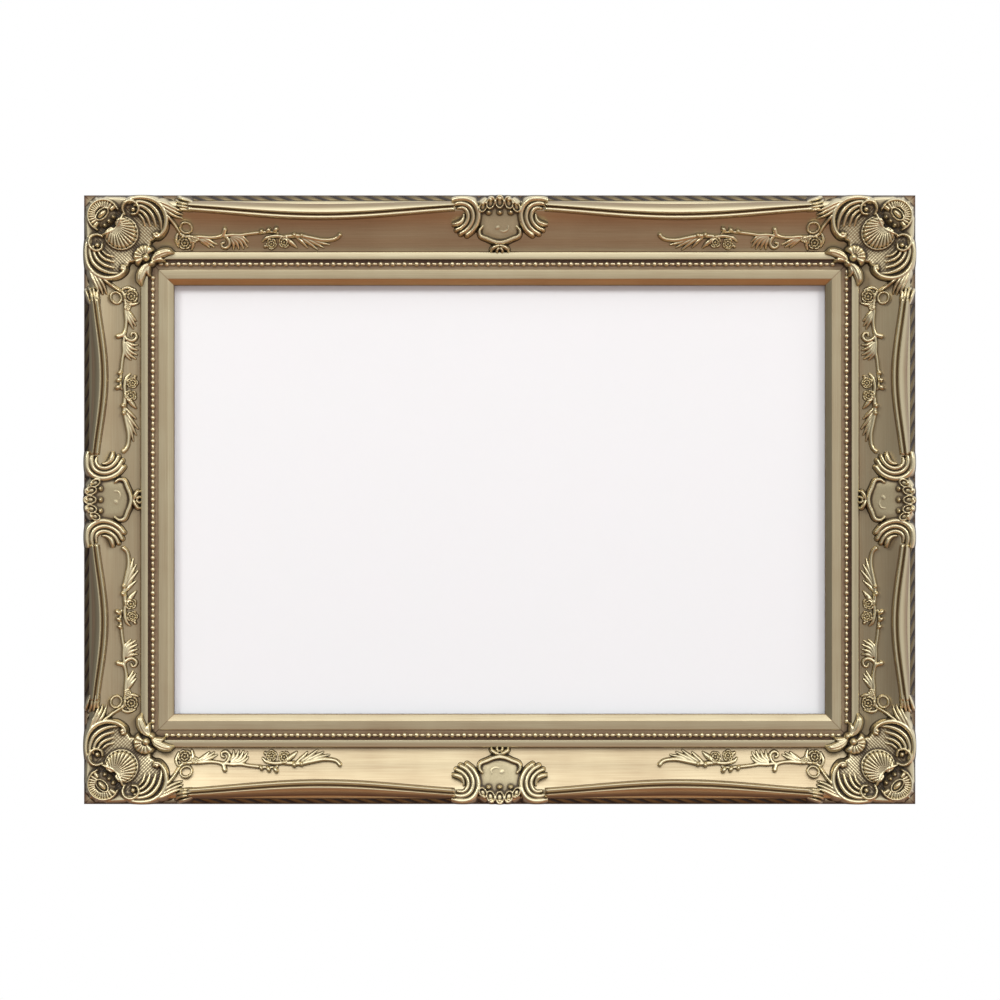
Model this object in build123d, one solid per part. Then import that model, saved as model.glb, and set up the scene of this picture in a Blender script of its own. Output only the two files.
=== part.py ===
from build123d import *
import os
from math import cos, hypot, pi, sin, sqrt

# An ornate gilded picture frame with swept outer edges, cast corners and a glazed rebate.
# Lengths are millimetres. X runs to the right, Z up, and the front looks along -Y.
# The origin is the middle of the frame on the wall, and "front" is a distance from the wall.

# Opening and moulding
sight_width = 597.0
sight_height = 393.0
moulding_width = 82.5

# Depth layers of the moulding, from the wall forward
bumper_thickness = 5.0
outer_wall_height = 13.0
shoulder_rise = 11.0
crown_rise = 4.5
scoop_sag = 3.2
scoop_inner_rise = 17.0
lip_rise = 1.4
fillet_rise = 19.0
channel_rise = 15.5
frieze_rise = 16.6
frieze_lift = 0.7
sight_edge_rise = 11.3

# Bands across the moulding, from the outer edge inward
rope_ledge_width = 6.0
shoulder_width = 6.0
crown_width = 3.0
lip_width = 2.0
fillet_width = 4.5
channel_width = 10.0
frieze_width = 7.7
bevel_width = 7.3

# Rebate and what it holds
rebate_lap = 6.5
glass_thickness = 2.0
card_thickness = 1.5
board_thickness = 3.0
rebate_side_clearance = 0.5
board_clearance = 0.3

# Ornament drawings are set out on a square grid, this many steps across the moulding
grid_steps = 90
hollow_steps = 39
spray_steps = 163
glue_line = 0.15
bed_flats = 3
flat_share = 1e-6
ornament_sink = 1.6

# Bead-and-bar row
bead_pitch = 10.8
bead_width = 4.4
bead_height = 3.5
bar_width = 2.4
bar_height = 1.7
bead_peak_share = 0.5
bead_row_start_share = 77 / grid_steps

# Rope on the outer edge
rope_height = 6.2
rope_pitch = 16.7
rope_groove_depth = 2.0
rope_groove_width = 2.4
rope_lean_degrees = 22
rope_flat_share = 0.42
rope_shoulder_share = 0.5

# Swept ridges: a broad roll and a thin ridge beside it
sweep_start_share = 107 / grid_steps
sweep_end_share = 46 / grid_steps
roll_outer_at_ends = 6.3
roll_outer_at_middle = 8.8
ridge_inner_at_ends = 17.6
ridge_inner_at_middle = 22.4
thin_ridge_width = 4.4
ridge_groove_width = 1.0
roll_rise = 8.6
thin_ridge_rise = 6.0
ridge_groove_rise = 3.4
ridge_foot_drop = 9.0
sweep_roundness_share = 0.35

# Corner casting
corner_outer_rise = 4.0
corner_inner_drop = 7.5
corner_relief = 4.2
shell_relief = 8.6
shell_ribs = 8
shell_spread_degrees = 225
shell_hinge_share = 30
shell_offset_share = 10.6
shell_rim_share = 17.3
hood_relief = 6.6
hood_ribs = 7
hood_spread_degrees = 150
hood_hinge_share = 22
hood_rim_share = 17
nut_place_share = 20.5
nut_radius_share = 3.2
nut_stretch_share = 2.2

# Centre casting
centre_outer_rise = 4.6
centre_inner_drop = 8.6
centre_relief = 4.2
centre_field_relief = 3.4
centre_field_radius_share = 13
petal_root_share = 0.4
petal_root_place_share = 18

# Floral spray
spray_relief = 3.4
spray_start_share = 95 / grid_steps

# Facets of the carved buds and rings
bud_sides = 6
flower_sides = 8
bud_cap_share = 0.5

# V-nails across the mitres
vnail_leg = 8.0
vnail_thickness = 0.8
vnail_depth = 10.0
vnail_places_share = (0.4, 0.7)

# Turn buttons that hold the backing board
button_length = 26.0
button_width = 9.0
button_thickness = 1.2
button_tip_width = 6.0
button_gap = 0.1
button_pivot_inset = 10.0
button_long_side_share = 0.25

# Wood screws
screw_shank_radius = 1.5
screw_head_radius = 3.0
screw_head_height = 1.4
screw_depth = 11.0
screw_running_clearance = 0.1
screw_shank_sides = 6
screw_head_sides = 6
round_sides = 10

# Ring hangers
strap_width = 10.0
strap_length = 27.0
strap_thickness = 0.9
ring_wire_radius = 1.2
ring_bore_clearance = 0.15
ring_half_width = 9.0
ring_length = 22.0
ring_corner_radius = 3.4
ring_wire_sides = 6
ring_bow_steps = 8
ring_bend_steps = 2
ring_rest_gap = 0.15
hanger_inset = 40.0
hanger_height_share = 1 / 6
strap_screw_places_share = (0.26, 0.56)

# Wall bumpers
bumper_width = 12.0
bumper_inset = 15.0
bumper_sides = 6

# One overrun serves every cut
overrun = 5.0

# Angles, with degrees where a turn is set out
degree = pi / 180
right_angle = 90

# Places worked out from the sizes above
outer_width = sight_width + 2 * moulding_width
outer_height = sight_height + 2 * moulding_width
grid_step = moulding_width / grid_steps
rail_back = bumper_thickness
rebate_depth = glass_thickness + card_thickness + board_thickness + board_clearance
rebate_front = rail_back + rebate_depth
rebate_start = moulding_width - rebate_lap
ledge_front = rail_back + outer_wall_height
shoulder_front = ledge_front + shoulder_rise
crown_front = shoulder_front + crown_rise
crown_start = rope_ledge_width + shoulder_width
scoop_start = crown_start + crown_width
bevel_start = moulding_width - bevel_width
frieze_start = bevel_start - frieze_width
channel_start = frieze_start - channel_width
fillet_start = channel_start - fillet_width
lip_start = fillet_start - lip_width
hollow_step = (lip_start - scoop_start) / hollow_steps
scoop_inner_front = rail_back + scoop_inner_rise
fillet_front = rail_back + fillet_rise
channel_front = rail_back + channel_rise
frieze_front = rail_back + frieze_rise
sight_front = rail_back + sight_edge_rise
bead_centre = channel_start + channel_width / 2
sweep_start = sweep_start_share * moulding_width
sweep_end = sweep_end_share * moulding_width
bead_row_start = bead_row_start_share * moulding_width
spray_start = spray_start_share * moulding_width
spray_step = (outer_height / 2 - spray_start - sweep_end) / spray_steps


def scoop_circle():
    """Centre and radius of the arc that hollows the panel of the moulding."""
    run = lip_start - scoop_start
    fall = crown_front - scoop_inner_front
    chord = hypot(run, fall)
    radius = (chord**2 / 4 + scoop_sag**2) / (2 * scoop_sag)
    lift = radius - scoop_sag
    middle_w = (scoop_start + lip_start) / 2
    middle_front = (crown_front + scoop_inner_front) / 2
    return middle_w + lift * fall / chord, middle_front + lift * run / chord, radius


scoop_w, scoop_front, scoop_radius = scoop_circle()
shoulder_middle = (
    rope_ledge_width + shoulder_width * (1 - cos(pi / 4)),
    shoulder_front + crown_rise * sin(pi / 4),
)


def rail_front(w):
    """Forward distance of the bare moulding at a distance w from the outer edge."""
    if w < rope_ledge_width:
        return ledge_front
    if w < crown_start:
        climb = (w - rope_ledge_width) / shoulder_width
        return shoulder_front + crown_rise * climb
    if w < scoop_start:
        return crown_front
    if w <= lip_start:
        return scoop_front - sqrt(scoop_radius**2 - (w - scoop_w) ** 2)
    if w < channel_start:
        return fillet_front
    return channel_front


def rail_section():
    """Moulding section, drawn with x inward from the outer edge and y forward."""
    scoop_middle_w = (scoop_start + lip_start) / 2
    lip_middle = ((lip_start + fillet_start) / 2, fillet_front + lip_rise)
    lines = [
        Line((0, rail_back), (0, ledge_front)),
        Line((0, ledge_front), (rope_ledge_width, ledge_front)),
        Line((rope_ledge_width, ledge_front), (rope_ledge_width, shoulder_front)),
        Line((rope_ledge_width, shoulder_front), shoulder_middle),
        Line(shoulder_middle, (crown_start, crown_front)),
        Line((crown_start, crown_front), (scoop_start, crown_front)),
        ThreePointArc(
            (scoop_start, crown_front), (scoop_middle_w, rail_front(scoop_middle_w)), (lip_start, scoop_inner_front)
        ),
        Line((lip_start, scoop_inner_front), lip_middle),
        Line(lip_middle, (fillet_start, fillet_front)),
        Line((fillet_start, fillet_front), (channel_start, fillet_front)),
        Line((channel_start, fillet_front), (channel_start, channel_front)),
        Line((channel_start, channel_front), (frieze_start, channel_front)),
        Line((frieze_start, channel_front), (frieze_start, frieze_front)),
        Line((frieze_start, frieze_front), (bevel_start, frieze_front + frieze_lift)),
        Line((bevel_start, frieze_front + frieze_lift), (moulding_width, sight_front)),
        Line((moulding_width, sight_front), (moulding_width, rebate_front)),
        Line((moulding_width, rebate_front), (rebate_start, rebate_front)),
        Line((rebate_start, rebate_front), (rebate_start, rail_back)),
        Line((rebate_start, rail_back), (0, rail_back)),
    ]
    return make_face(lines)


def stock(length):
    """A straight length of moulding: x along it, y inward, z forward, middle at x = 0."""
    return extrude(Plane.YZ * rail_section(), amount=length / 2, both=True)


def bed(length):
    """The space that castings keep clear of: the moulding's face in flats, a glue line forward."""
    points = [(0, 0), (0, ledge_front), (rope_ledge_width, ledge_front), (rope_ledge_width, shoulder_front)]
    points += [shoulder_middle, (crown_start, crown_front)]
    for i in range(bed_flats + 1):
        w = scoop_start + (lip_start - scoop_start) * i / bed_flats
        points.append((w, rail_front(w)))
    points += [(lip_start, fillet_front + lip_rise), (fillet_start, fillet_front + lip_rise)]
    points += [(fillet_start, fillet_front), (channel_start, fillet_front), (channel_start, channel_front)]
    points += [(moulding_width, channel_front), (moulding_width, 0)]
    raised = [(w, front + glue_line) for w, front in points]
    return extrude(Plane.YZ * Polygon(*raised, align=None), amount=length / 2, both=True)


def prism(points, low, high):
    """A straight-sided block over an outline in the x, y plane."""
    return extrude(Pos(0, 0, low) * Polygon(*points, align=None), amount=high - low, dir=(0, 0, 1))


def mitred(length):
    """Moulding whose ends are cut at 45 degrees, longest on the outer edge."""
    half = length / 2
    outline = [(-half, 0), (half, 0), (half - moulding_width, moulding_width), (moulding_width - half, moulding_width)]
    return stock(length) & prism(outline, 0, crown_front + overrun)


# The four sides: a plane on the wall at the middle of each outer edge, x along the side,
# y inward and z forward, with the length and the names of its two halves along x
wall_normal = (0, -1, 0)
sides = {
    "top": (Plane((0, 0, outer_height / 2), (-1, 0, 0), wall_normal), outer_width, ("top_left", "top_right")),
    "bottom": (Plane((0, 0, -outer_height / 2), (1, 0, 0), wall_normal), outer_width, ("bottom_right", "bottom_left")),
    "left": (Plane((-outer_width / 2, 0, 0), (0, 0, -1), wall_normal), outer_height, ("left_lower", "left_upper")),
    "right": (Plane((outer_width / 2, 0, 0), (0, 0, 1), wall_normal), outer_height, ("right_upper", "right_lower")),
}

# The four corners: a plane on the wall at each outer corner, x and y along its two sides
corners = {
    "top_left": Plane((-outer_width / 2, 0, outer_height / 2), (0, 0, -1), wall_normal),
    "top_right": Plane((outer_width / 2, 0, outer_height / 2), (-1, 0, 0), wall_normal),
    "bottom_right": Plane((outer_width / 2, 0, -outer_height / 2), (0, 0, 1), wall_normal),
    "bottom_left": Plane((-outer_width / 2, 0, -outer_height / 2), (1, 0, 0), wall_normal),
}


# Carving helpers. Drawings are in steps, set out on a drawing board, and ground(x, y) gives the surface under them.


class Board:
    """Where a drawing starts, and how long its steps are along the side and across it."""

    def __init__(self, x, y, along, step):
        self.x = x
        self.y = y
        self.along = along
        self.step = step

    def place(self, x_share, y_share):
        """A drawn place on the moulding."""
        return Vector(self.x + x_share * self.along, self.y + y_share * self.step)


moulding_board = Board(0, 0, grid_step, grid_step)
hollow_board = Board(spray_start, scoop_start, spray_step, hollow_step)


def facets(a, b, c, d):
    """One flat face over four corners, or two triangles where they lie out of plane."""
    ab, ac, ad = b - a, c - a, d - a
    if abs(ab.cross(ac).dot(ad)) <= flat_share * ab.cross(ac).length * ac.length:
        return [Face(Wire.make_polygon([a, b, c, d]))]
    return [Face(Wire.make_polygon([a, b, c])), Face(Wire.make_polygon([a, c, d]))]


def faceted(sections, closed=False):
    """A flat-faced solid through a run of sections with the same number of points."""
    rows = [[Vector(*point) for point in section] for section in sections]
    following = rows[1:] + rows[:1] if closed else rows[1:]
    faces = []
    for near, far in zip(rows, following):
        for j in range(len(near)):
            k = (j + 1) % len(near)
            faces += facets(near[j], near[k], far[k], far[j])
    if not closed:
        faces += [Face(Wire.make_polygon(rows[0])), Face(Wire.make_polygon(rows[-1]))]
    return Solid(Shell(faces))


def polygon_ring(x, y, front, radius, count, stretch=1, turn=0):
    """Points of a level polygon about a place, stretched along its turned x axis."""
    points = []
    for i in range(count):
        angle = 2 * pi * i / count
        across = radius * stretch * cos(angle)
        up = radius * sin(angle)
        points.append((x + across * cos(turn) - up * sin(turn), y + across * sin(turn) + up * cos(turn), front))
    return points


def strand(stations_shares, relief, ground, board=moulding_board):
    """A tapering carved strand: a gabled section run along a drawn line of (x, y, width, rise)."""
    places = [board.place(x, y) for x, y, _, _ in stations_shares]
    sections = []
    for i, place in enumerate(places):
        width, rise = stations_shares[i][2:]
        along = places[min(i + 1, len(places) - 1)] - places[max(i - 1, 0)]
        across = Vector(-along.Y, along.X).normalized() * (width * board.step / 2)
        left = place + across
        right = place - across
        section = [
            (left.X, left.Y, ground(left.X, left.Y) - ornament_sink),
            (place.X, place.Y, ground(place.X, place.Y) + rise * relief),
            (right.X, right.Y, ground(right.X, right.Y) - ornament_sink),
        ]
        sections.append(section)
    return faceted(sections)


def boss(x_share, y_share, radius_share, relief, sides_of_boss, ground, stretch_share=1, turn=0, board=moulding_board):
    """A faceted bud or ball: a straight foot drawn in to a cap."""
    place = board.place(x_share, y_share)
    radius = radius_share * board.step
    base = ground(place.X, place.Y)
    foot = polygon_ring(place.X, place.Y, base - ornament_sink, radius, sides_of_boss, stretch_share, turn)
    cap = polygon_ring(place.X, place.Y, base + relief, radius * bud_cap_share, sides_of_boss, stretch_share, turn)
    return faceted([foot, cap])


def fan(hinge_share, offset_share, rim_share, facing, spread_degrees, ribs, relief, ground):
    """A scallop of radial gabled ribs whose rim is a circle set forward of the hinge."""
    spread = spread_degrees * degree
    hinge = Vector(hinge_share * grid_step, hinge_share * grid_step)
    offset = offset_share * grid_step
    rim = rim_share * grid_step
    half_turn = spread / ribs / 2
    solids = []
    for rib in range(ribs):
        sections = []
        for reach, valley, crest in zip(rib_reach_shares, rib_valley_shares, rib_crest_shares):
            edge = []
            for turn in (2 * rib, 2 * rib + 2):
                swing = half_turn * turn - spread / 2
                radius = offset * cos(swing) + sqrt(rim**2 - (offset * sin(swing)) ** 2)
                edge.append(hinge + Vector(cos(facing + swing), sin(facing + swing)) * radius * reach)
            first, last = edge
            middle = (first + last) * 0.5
            base = ground(middle.X, middle.Y)
            section = [
                (first.X, first.Y, base - ornament_sink),
                (first.X, first.Y, base + valley * relief),
                (middle.X, middle.Y, base + crest * relief),
                (last.X, last.Y, base + valley * relief),
                (last.X, last.Y, base - ornament_sink),
            ]
            sections.append(section)
        solids.append(faceted(sections))
    return solids


# How far out along a rib each of its sections lies, and how high its valleys and crest stand
rib_reach_shares = (0.2, 0.62, 1.0)
rib_valley_shares = (0.2, 0.75, 0.1)
rib_crest_shares = (0.35, 1.0, 0.4)


def about_mitre(shares):
    """A drawn line and its mirror image about the mitre."""
    return [shares, [(station[1], station[0], *station[2:]) for station in shares]]


def about_middle(shares):
    """A drawn line and its mirror image about the middle of the side."""
    return [shares, [(-station[0], *station[1:]) for station in shares]]


def block_over(outline_shares, fall_plane):
    """A casting's ground: an outline raised to a sloping face."""
    ring = [(x * grid_step, y * grid_step) for x, y in outline_shares]
    return split(prism(ring, ledge_front, ledge_front + crown_front), fall_plane, keep=Keep.BOTTOM).solid()


def cast(solids, beds):
    """Fuse motifs into one casting and cut its underside to the moulding."""
    return Part() + solids - beds


# Corner casting


def corner_ground(u, v):
    """The casting's ground falls from each outer edge and meets in a valley along the mitre."""
    fall = (corner_outer_rise + corner_inner_drop) / moulding_width
    return crown_front + corner_outer_rise - fall * min(u, v)


def shell_ground(u, v):
    """The plane that bridges the valley under the hood and the shell."""
    return corner_ground((u + v) / 2, (u + v) / 2)


def frond_ground(u, v):
    """The moulding itself, where fronds run on past the casting's ground."""
    return rail_front(min(u, v))


corner_outline_shares = [
    (12, 6),
    (24, 3),
    (58, 3),
    (71, 5),
    (82, 13),
    (87, 28),
    (83, 39),
    (69, 46),
    (67, 66),
]
corner_strand_shares = [
    [(45, 5, 3, 1), (58, 3.5, 5, 1), (71, 7, 6, 1), (83, 22, 6, 1), (83, 35, 5.5, 1), (75, 41, 3, 0.5)],
    [(49, 9, 3, 1), (60, 10, 5, 1), (72, 17, 5.5, 1), (77, 30, 1, 0.5)],
    [(66, 59, 3, 1), (76, 56, 6, 1), (86, 55, 1, 0.2)],
]
corner_frond_shares = [
    [(74, 8.5, 4, 0.9), (103, 10, 6, 0.8)],
    [(83, 18, 5, 0.9), (103, 20, 6, 0.8)],
    [(103, 8, 6, 0.9), (103, 23, 5, 0.8)],
]
corner_bud_shares = [(51, 16, 4), (23.5, 28, 2)]
corner_flower_shares = (63, 63, 6)


def corner_casting():
    """Ribbed hood, oval nut, scallop shell, two C-scrolls, fronds and an inner flower."""
    outline = corner_outline_shares + [(y, x) for x, y in reversed(corner_outline_shares[:-1])]
    base = corner_ground(0, 0)
    drop = base - corner_ground(moulding_width, moulding_width)
    slopes = [(0, drop, moulding_width), (drop, 0, moulding_width)]
    solids = [block_over(outline, Plane((0, 0, base), z_dir=slope)) for slope in slopes]
    for stations in corner_strand_shares:
        solids += [strand(drawn, corner_relief, corner_ground) for drawn in about_mitre(stations)]
    for stations in corner_frond_shares:
        solids += [strand(drawn, corner_relief, frond_ground) for drawn in about_mitre(stations)]
    for u, v, radius in corner_bud_shares:
        solids.append(boss(u, v, radius, corner_relief, bud_sides, corner_ground))
        solids.append(boss(v, u, radius, corner_relief, bud_sides, corner_ground))
    solids.append(boss(*corner_flower_shares, corner_relief, flower_sides, corner_ground))
    mitre = pi / 4
    solids += fan(
        shell_hinge_share,
        shell_offset_share,
        shell_rim_share,
        mitre,
        shell_spread_degrees,
        shell_ribs,
        shell_relief,
        shell_ground,
    )
    solids += fan(
        hood_hinge_share, 0, hood_rim_share, mitre + pi, hood_spread_degrees, hood_ribs, hood_relief, shell_ground
    )
    solids.append(
        boss(
            nut_place_share,
            nut_place_share,
            nut_radius_share,
            corner_relief,
            flower_sides,
            shell_ground,
            nut_stretch_share,
            -mitre,
        )
    )
    reach = 2 * moulding_width
    half = prism([(0, 0), (reach, 0), (reach, moulding_width), (moulding_width, moulding_width)], 0, reach)
    along_x = bed(2 * reach) & half
    along_y = mirror(along_x, Plane((0, 0, 0), z_dir=(1, -1, 0)))
    return cast(solids, [along_x, along_y])


# Centre casting


def centre_ground(x, v):
    """The casting's ground falls evenly from the outer edge to the inner lip."""
    fall = (centre_outer_rise + centre_inner_drop) / lip_start
    return crown_front + centre_outer_rise - fall * v


centre_outline_shares = [
    (0, 3),
    (14, 4),
    (24, 6),
    (36, 3),
    (45, 5),
    (43, 28),
    (45, 40),
    (28, 41),
    (20, 40),
    (9, 48),
    (0, 51),
]
centre_strand_shares = [
    [(45, 5, 3, 0.8), (35, 4, 5, 1), (25, 12, 5, 1), (24, 28, 5, 1), (32, 39, 5, 1), (43, 40, 4, 0.6)],
    [(44, 12, 3, 0.8), (33, 15, 5, 1), (39, 33, 3, 0.6)],
    [(0, 20, 4, 1), (12, 20, 4, 1), (18, 30, 4, 1), (10, 42, 5, 1), (0, 46, 6, 1)],
    [(2, 48, 4, 1), (3, 56, 2, 0.5)],
]
centre_field_shares = (0, 31)
centre_petal_shares = [(-15, 6), (-8, 3.5), (0, 2.5), (8, 3.5), (15, 6)]
petal_width_shares = (4, 6.5)
petal_rise_shares = (1.2, 0.8)


def petal(tip_share, v_share):
    """One petal of the crown, spreading from the top of the shield to its tip."""
    root = (tip_share * petal_root_share, petal_root_place_share, petal_width_shares[0], petal_rise_shares[0])
    tip = (tip_share, v_share, petal_width_shares[1], petal_rise_shares[1])
    return strand([root, tip], centre_relief, centre_ground)


def centre_casting():
    """Two C-scrolls, a crown of petals and a shield with a ribbed lower rim."""
    outline = centre_outline_shares + [(-x, v) for x, v in reversed(centre_outline_shares[1:-1])]
    base = centre_ground(0, 0)
    slope = (0, base - centre_ground(0, lip_start), lip_start)
    solids = [block_over(outline, Plane((0, 0, base), z_dir=slope))]
    for stations in centre_strand_shares:
        solids += [strand(drawn, centre_relief, centre_ground) for drawn in about_middle(stations)]
    solids += [petal(x, v) for x, v in centre_petal_shares]
    solids.append(
        boss(*centre_field_shares, centre_field_radius_share, centre_field_relief, flower_sides, centre_ground)
    )
    return cast(solids, [bed(outer_height)])


# Floral spray


def spray_ground(u, v):
    """Sprays lie in the hollow of the moulding."""
    return rail_front(v)


spray_strand_shares = [
    [(4, 25, 3, 0.9), (15, 23, 4, 1.1), (44, 22, 3.5, 1.1), (48, 15, 4, 0.9)],
    [(41, 22, 3, 0.8), (77, 24, 4, 1), (101, 17, 4, 0.8)],
    [(73, 24, 3, 0.8), (113, 23, 5, 1.2), (140, 28, 5, 1.1), (162, 22, 1, 0.4)],
    [(13, 25, 6, 0.8), (33, 32, 1, 0.2)],
    [(50, 23, 4, 0.8), (45, 36, 5, 1.1)],
    [(52, 23, 8, 1), (61, 38, 1.5, 0.3)],
    [(87, 22, 3, 0.8), (92, 28, 3, 0.9)],
    [(102, 24, 7, 0.9), (111, 36, 1.5, 0.3)],
    [(141, 28, 4, 0.8), (152, 36, 1, 0.2)],
]
spray_bud_shares = [(4, 21, 5.5), (4, 29.5, 6.5), (92, 30.5, 6.5)]


def spray_casting():
    """A rose spray: a cupped bud, roses, curling stems, small buds and fingered leaves."""
    solids = [strand(stations, spray_relief, spray_ground, hollow_board) for stations in spray_strand_shares]
    for u, v, radius in spray_bud_shares:
        solids.append(boss(u, v, radius, spray_relief, bud_sides, spray_ground, board=hollow_board))
    return cast(solids, [bed(outer_width)])


# Swept ridges


def swell(share):
    """How far the sweep has swung out, from 0 at its ends to 1 at its middle."""
    return sin(pi * share) ** 2 * sweep_roundness_share + sin(pi * share) * (1 - sweep_roundness_share)


sweep_stations_shares = (0, 0.14, 0.38, 0.62, 0.86, 1)
roll_section_shares = ((0.1, 0.55), (0.45, 1.0), (1.0, 0.62))
thin_section_shares = ((0.4, 1.0), (0.9, 0.7))


def ridge_section(share, place):
    """Roll, groove and thin ridge in one outline, square to the side."""
    outer = roll_outer_at_ends + (roll_outer_at_middle - roll_outer_at_ends) * swell(share)
    inner = ridge_inner_at_ends + (ridge_inner_at_middle - ridge_inner_at_ends) * swell(share)
    foot = crown_front - ridge_foot_drop
    thin_outer = inner - thin_ridge_width
    groove = thin_outer - ridge_groove_width
    roll_height = crown_front + roll_rise - shoulder_front
    points = [(outer, foot)]
    for across, up in roll_section_shares:
        points.append((outer + (groove - outer) * across, shoulder_front + roll_height * up))
    points.append((thin_outer, crown_front + ridge_groove_rise))
    for across, up in thin_section_shares:
        points.append((thin_outer + thin_ridge_width * across, crown_front + thin_ridge_rise * up))
    points.append((inner, foot))
    return [(place, w, front) for w, front in points]


def ridge_casting(length):
    """One half-side's roll and thin ridge, swinging inward at its middle."""
    half = length / 2
    start = sweep_start - half
    finish = -sweep_end
    sections = []
    for share in sweep_stations_shares:
        sections.append(ridge_section(share, start + (finish - start) * share))
    return faceted(sections) - bed(length)


# Bead-and-bar row


def bead_station(place, width, height):
    """Gabled half-round section of the bead row."""
    foot = channel_front + glue_line
    return [
        (place, bead_centre - width / 2, foot),
        (place, bead_centre, foot + height),
        (place, bead_centre + width / 2, foot),
    ]


def bead_row(length):
    """Beads and bars in one turned strip, a whole number of pitches long."""
    count = round((length - 2 * bead_row_start) / bead_pitch)
    pitch = (length - 2 * bead_row_start) / count
    start = bead_row_start - length / 2
    sections = [bead_station(start, bar_width, bar_height)]
    for i in range(count):
        sections.append(bead_station(start + (i + bead_peak_share) * pitch, bead_width, bead_height))
        sections.append(bead_station(start + (i + 1) * pitch, bar_width, bar_height))
    return faceted(sections).clean()


# Rope edging


def rope_length_of(length):
    """One run of rope, from a corner casting to a centre casting: V-cuts across a faceted strip."""
    start = sweep_start - length / 2
    finish = -sweep_end
    foot = ledge_front + glue_line
    flat = rope_ledge_width * rope_flat_share / 2
    middle = rope_ledge_width / 2
    section = Polygon(
        (0, foot),
        (0, foot + rope_height * rope_shoulder_share),
        (middle - flat, foot + rope_height),
        (middle + flat, foot + rope_height),
        (rope_ledge_width - glue_line, foot + rope_height * rope_shoulder_share),
        (rope_ledge_width - glue_line, foot),
        align=None,
    )
    strip = Pos(start, 0, 0) * extrude(Plane.YZ * section, amount=finish - start, dir=(1, 0, 0))
    count = int((finish - start) / rope_pitch)
    pitch = (finish - start) / count
    cut_outline = Polygon(
        (-rope_groove_width / 2, 0), (0, -rope_groove_depth), (rope_groove_width / 2, 0), align=None
    )
    cutter = extrude(Plane.XZ * cut_outline, amount=rope_pitch, both=True)
    cuts = []
    for i in range(1, count):
        turned = Rot(0, 0, rope_lean_degrees) * Rot(0, 0, -right_angle) * cutter
        cuts.append(Pos(start + i * pitch, middle, foot + rope_height) * turned)
    return strip - cuts


# Glazing, board and hardware


def rebate_panel(front, thickness):
    """A flat panel that fits the rebate with clearance, its front face at the given front."""
    width = sight_width + 2 * rebate_lap - 2 * rebate_side_clearance
    height = sight_height + 2 * rebate_lap - 2 * rebate_side_clearance
    return Pos(0, thickness / 2 - front, 0) * Box(width, thickness, height)


def vnail(place):
    """One V-shaped wedge, driven from the back across the mitre."""
    leg = place + vnail_leg
    inner = place + vnail_thickness
    outline = [(place, place), (leg, place), (leg, inner), (inner, inner), (inner, leg), (place, leg)]
    return prism(outline, rail_back, rail_back + vnail_depth)


def screw(head_back):
    """A wood screw whose head's underside lies at head_back, driven forward."""
    head = extrude(
        Pos(0, 0, head_back - screw_head_height) * RegularPolygon(screw_head_radius, screw_head_sides),
        amount=screw_head_height,
    )
    return head + screw_shank(head_back)


def screw_shank(head_back):
    """The shank alone, which also cuts its own hole in the rail."""
    shank = RegularPolygon(screw_shank_radius, screw_shank_sides)
    return extrude(Pos(0, 0, head_back) * shank, amount=screw_depth)


def turn_button():
    """A tapered plate that turns about its screw and laps over the board, pivot at x = y = 0."""
    far = button_length - button_width / 2
    root = button_width / 2
    tip = button_tip_width / 2
    face = RegularPolygon(root, round_sides) + Polygon((0, -root), (far, -tip), (far, tip), (0, root), align=None)
    face -= RegularPolygon(screw_shank_radius + screw_running_clearance, round_sides, major_radius=False)
    return extrude(Pos(0, 0, rail_back - button_gap - button_thickness) * face, amount=button_thickness)


def ring_axis_lift():
    """Height of the ring's hinge line behind the rail back."""
    return strap_thickness + ring_bore_clearance + ring_wire_radius


def hanger_strap():
    """A folded strap: a plate flat on the rail, curled round the ring's straight bar at y = 0."""
    bore = ring_wire_radius + ring_bore_clearance
    curl = RegularPolygon(bore + strap_thickness, round_sides, major_radius=False)
    curl -= RegularPolygon(bore, round_sides, major_radius=False)
    plate_top = bore
    plate_bottom = plate_top + strap_thickness
    corner_points = [(0, plate_top), (strap_length, plate_top), (strap_length, plate_bottom), (0, plate_bottom)]
    profile = curl + Polygon(*corner_points, align=None)
    return extrude(Plane.YZ * profile, amount=strap_width / 2, both=True)


def hanger_ring():
    """A D-shaped wire ring with its straight bar on the hinge line, standing along -y."""
    side = ring_half_width - ring_corner_radius
    shoulder = ring_length - ring_half_width
    line = []
    for i in range(ring_bow_steps + 1):
        angle = pi * i / ring_bow_steps
        line.append((ring_half_width * cos(angle), -shoulder - ring_half_width * sin(angle)))
    for i in range(ring_bend_steps + 1):
        angle = pi * i / ring_bend_steps / 2
        line.append((-side - ring_corner_radius * cos(angle), ring_corner_radius * (sin(angle) - 1)))
    line += [(-x, y) for x, y in reversed(line[ring_bow_steps + 1 :])]
    sections = []
    for i, (x, y) in enumerate(line):
        before = line[i - 1]
        after = line[(i + 1) % len(line)]
        along = Vector(after[0] - before[0], after[1] - before[1]).normalized()
        section = []
        for j in range(ring_wire_sides):
            angle = 2 * pi * (j + 0.5) / ring_wire_sides
            out = ring_wire_radius * cos(angle)
            section.append((x - along.Y * out, y + along.X * out, ring_wire_radius * sin(angle)))
        sections.append(section)
    return faceted(sections, closed=True)


# Assembly


def on_side(name, shape):
    """Place a shape drawn along one side."""
    return sides[name][0].location * shape


def halves(name, shape):
    """The two half-sides' copies of a shape drawn on the half towards -x, named by where they lie."""
    towards_plus, towards_minus = sides[name][2]
    return {
        towards_minus: on_side(name, shape),
        towards_plus: on_side(name, mirror(shape, Plane.YZ)),
    }


def button_places(name):
    """Pivots of the turn buttons along one side."""
    length = sides[name][1]
    if length == outer_height:
        return {name: 0}
    towards_plus, towards_minus = sides[name][2]
    reach = length * button_long_side_share
    return {towards_minus: -reach, towards_plus: reach}


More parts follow.
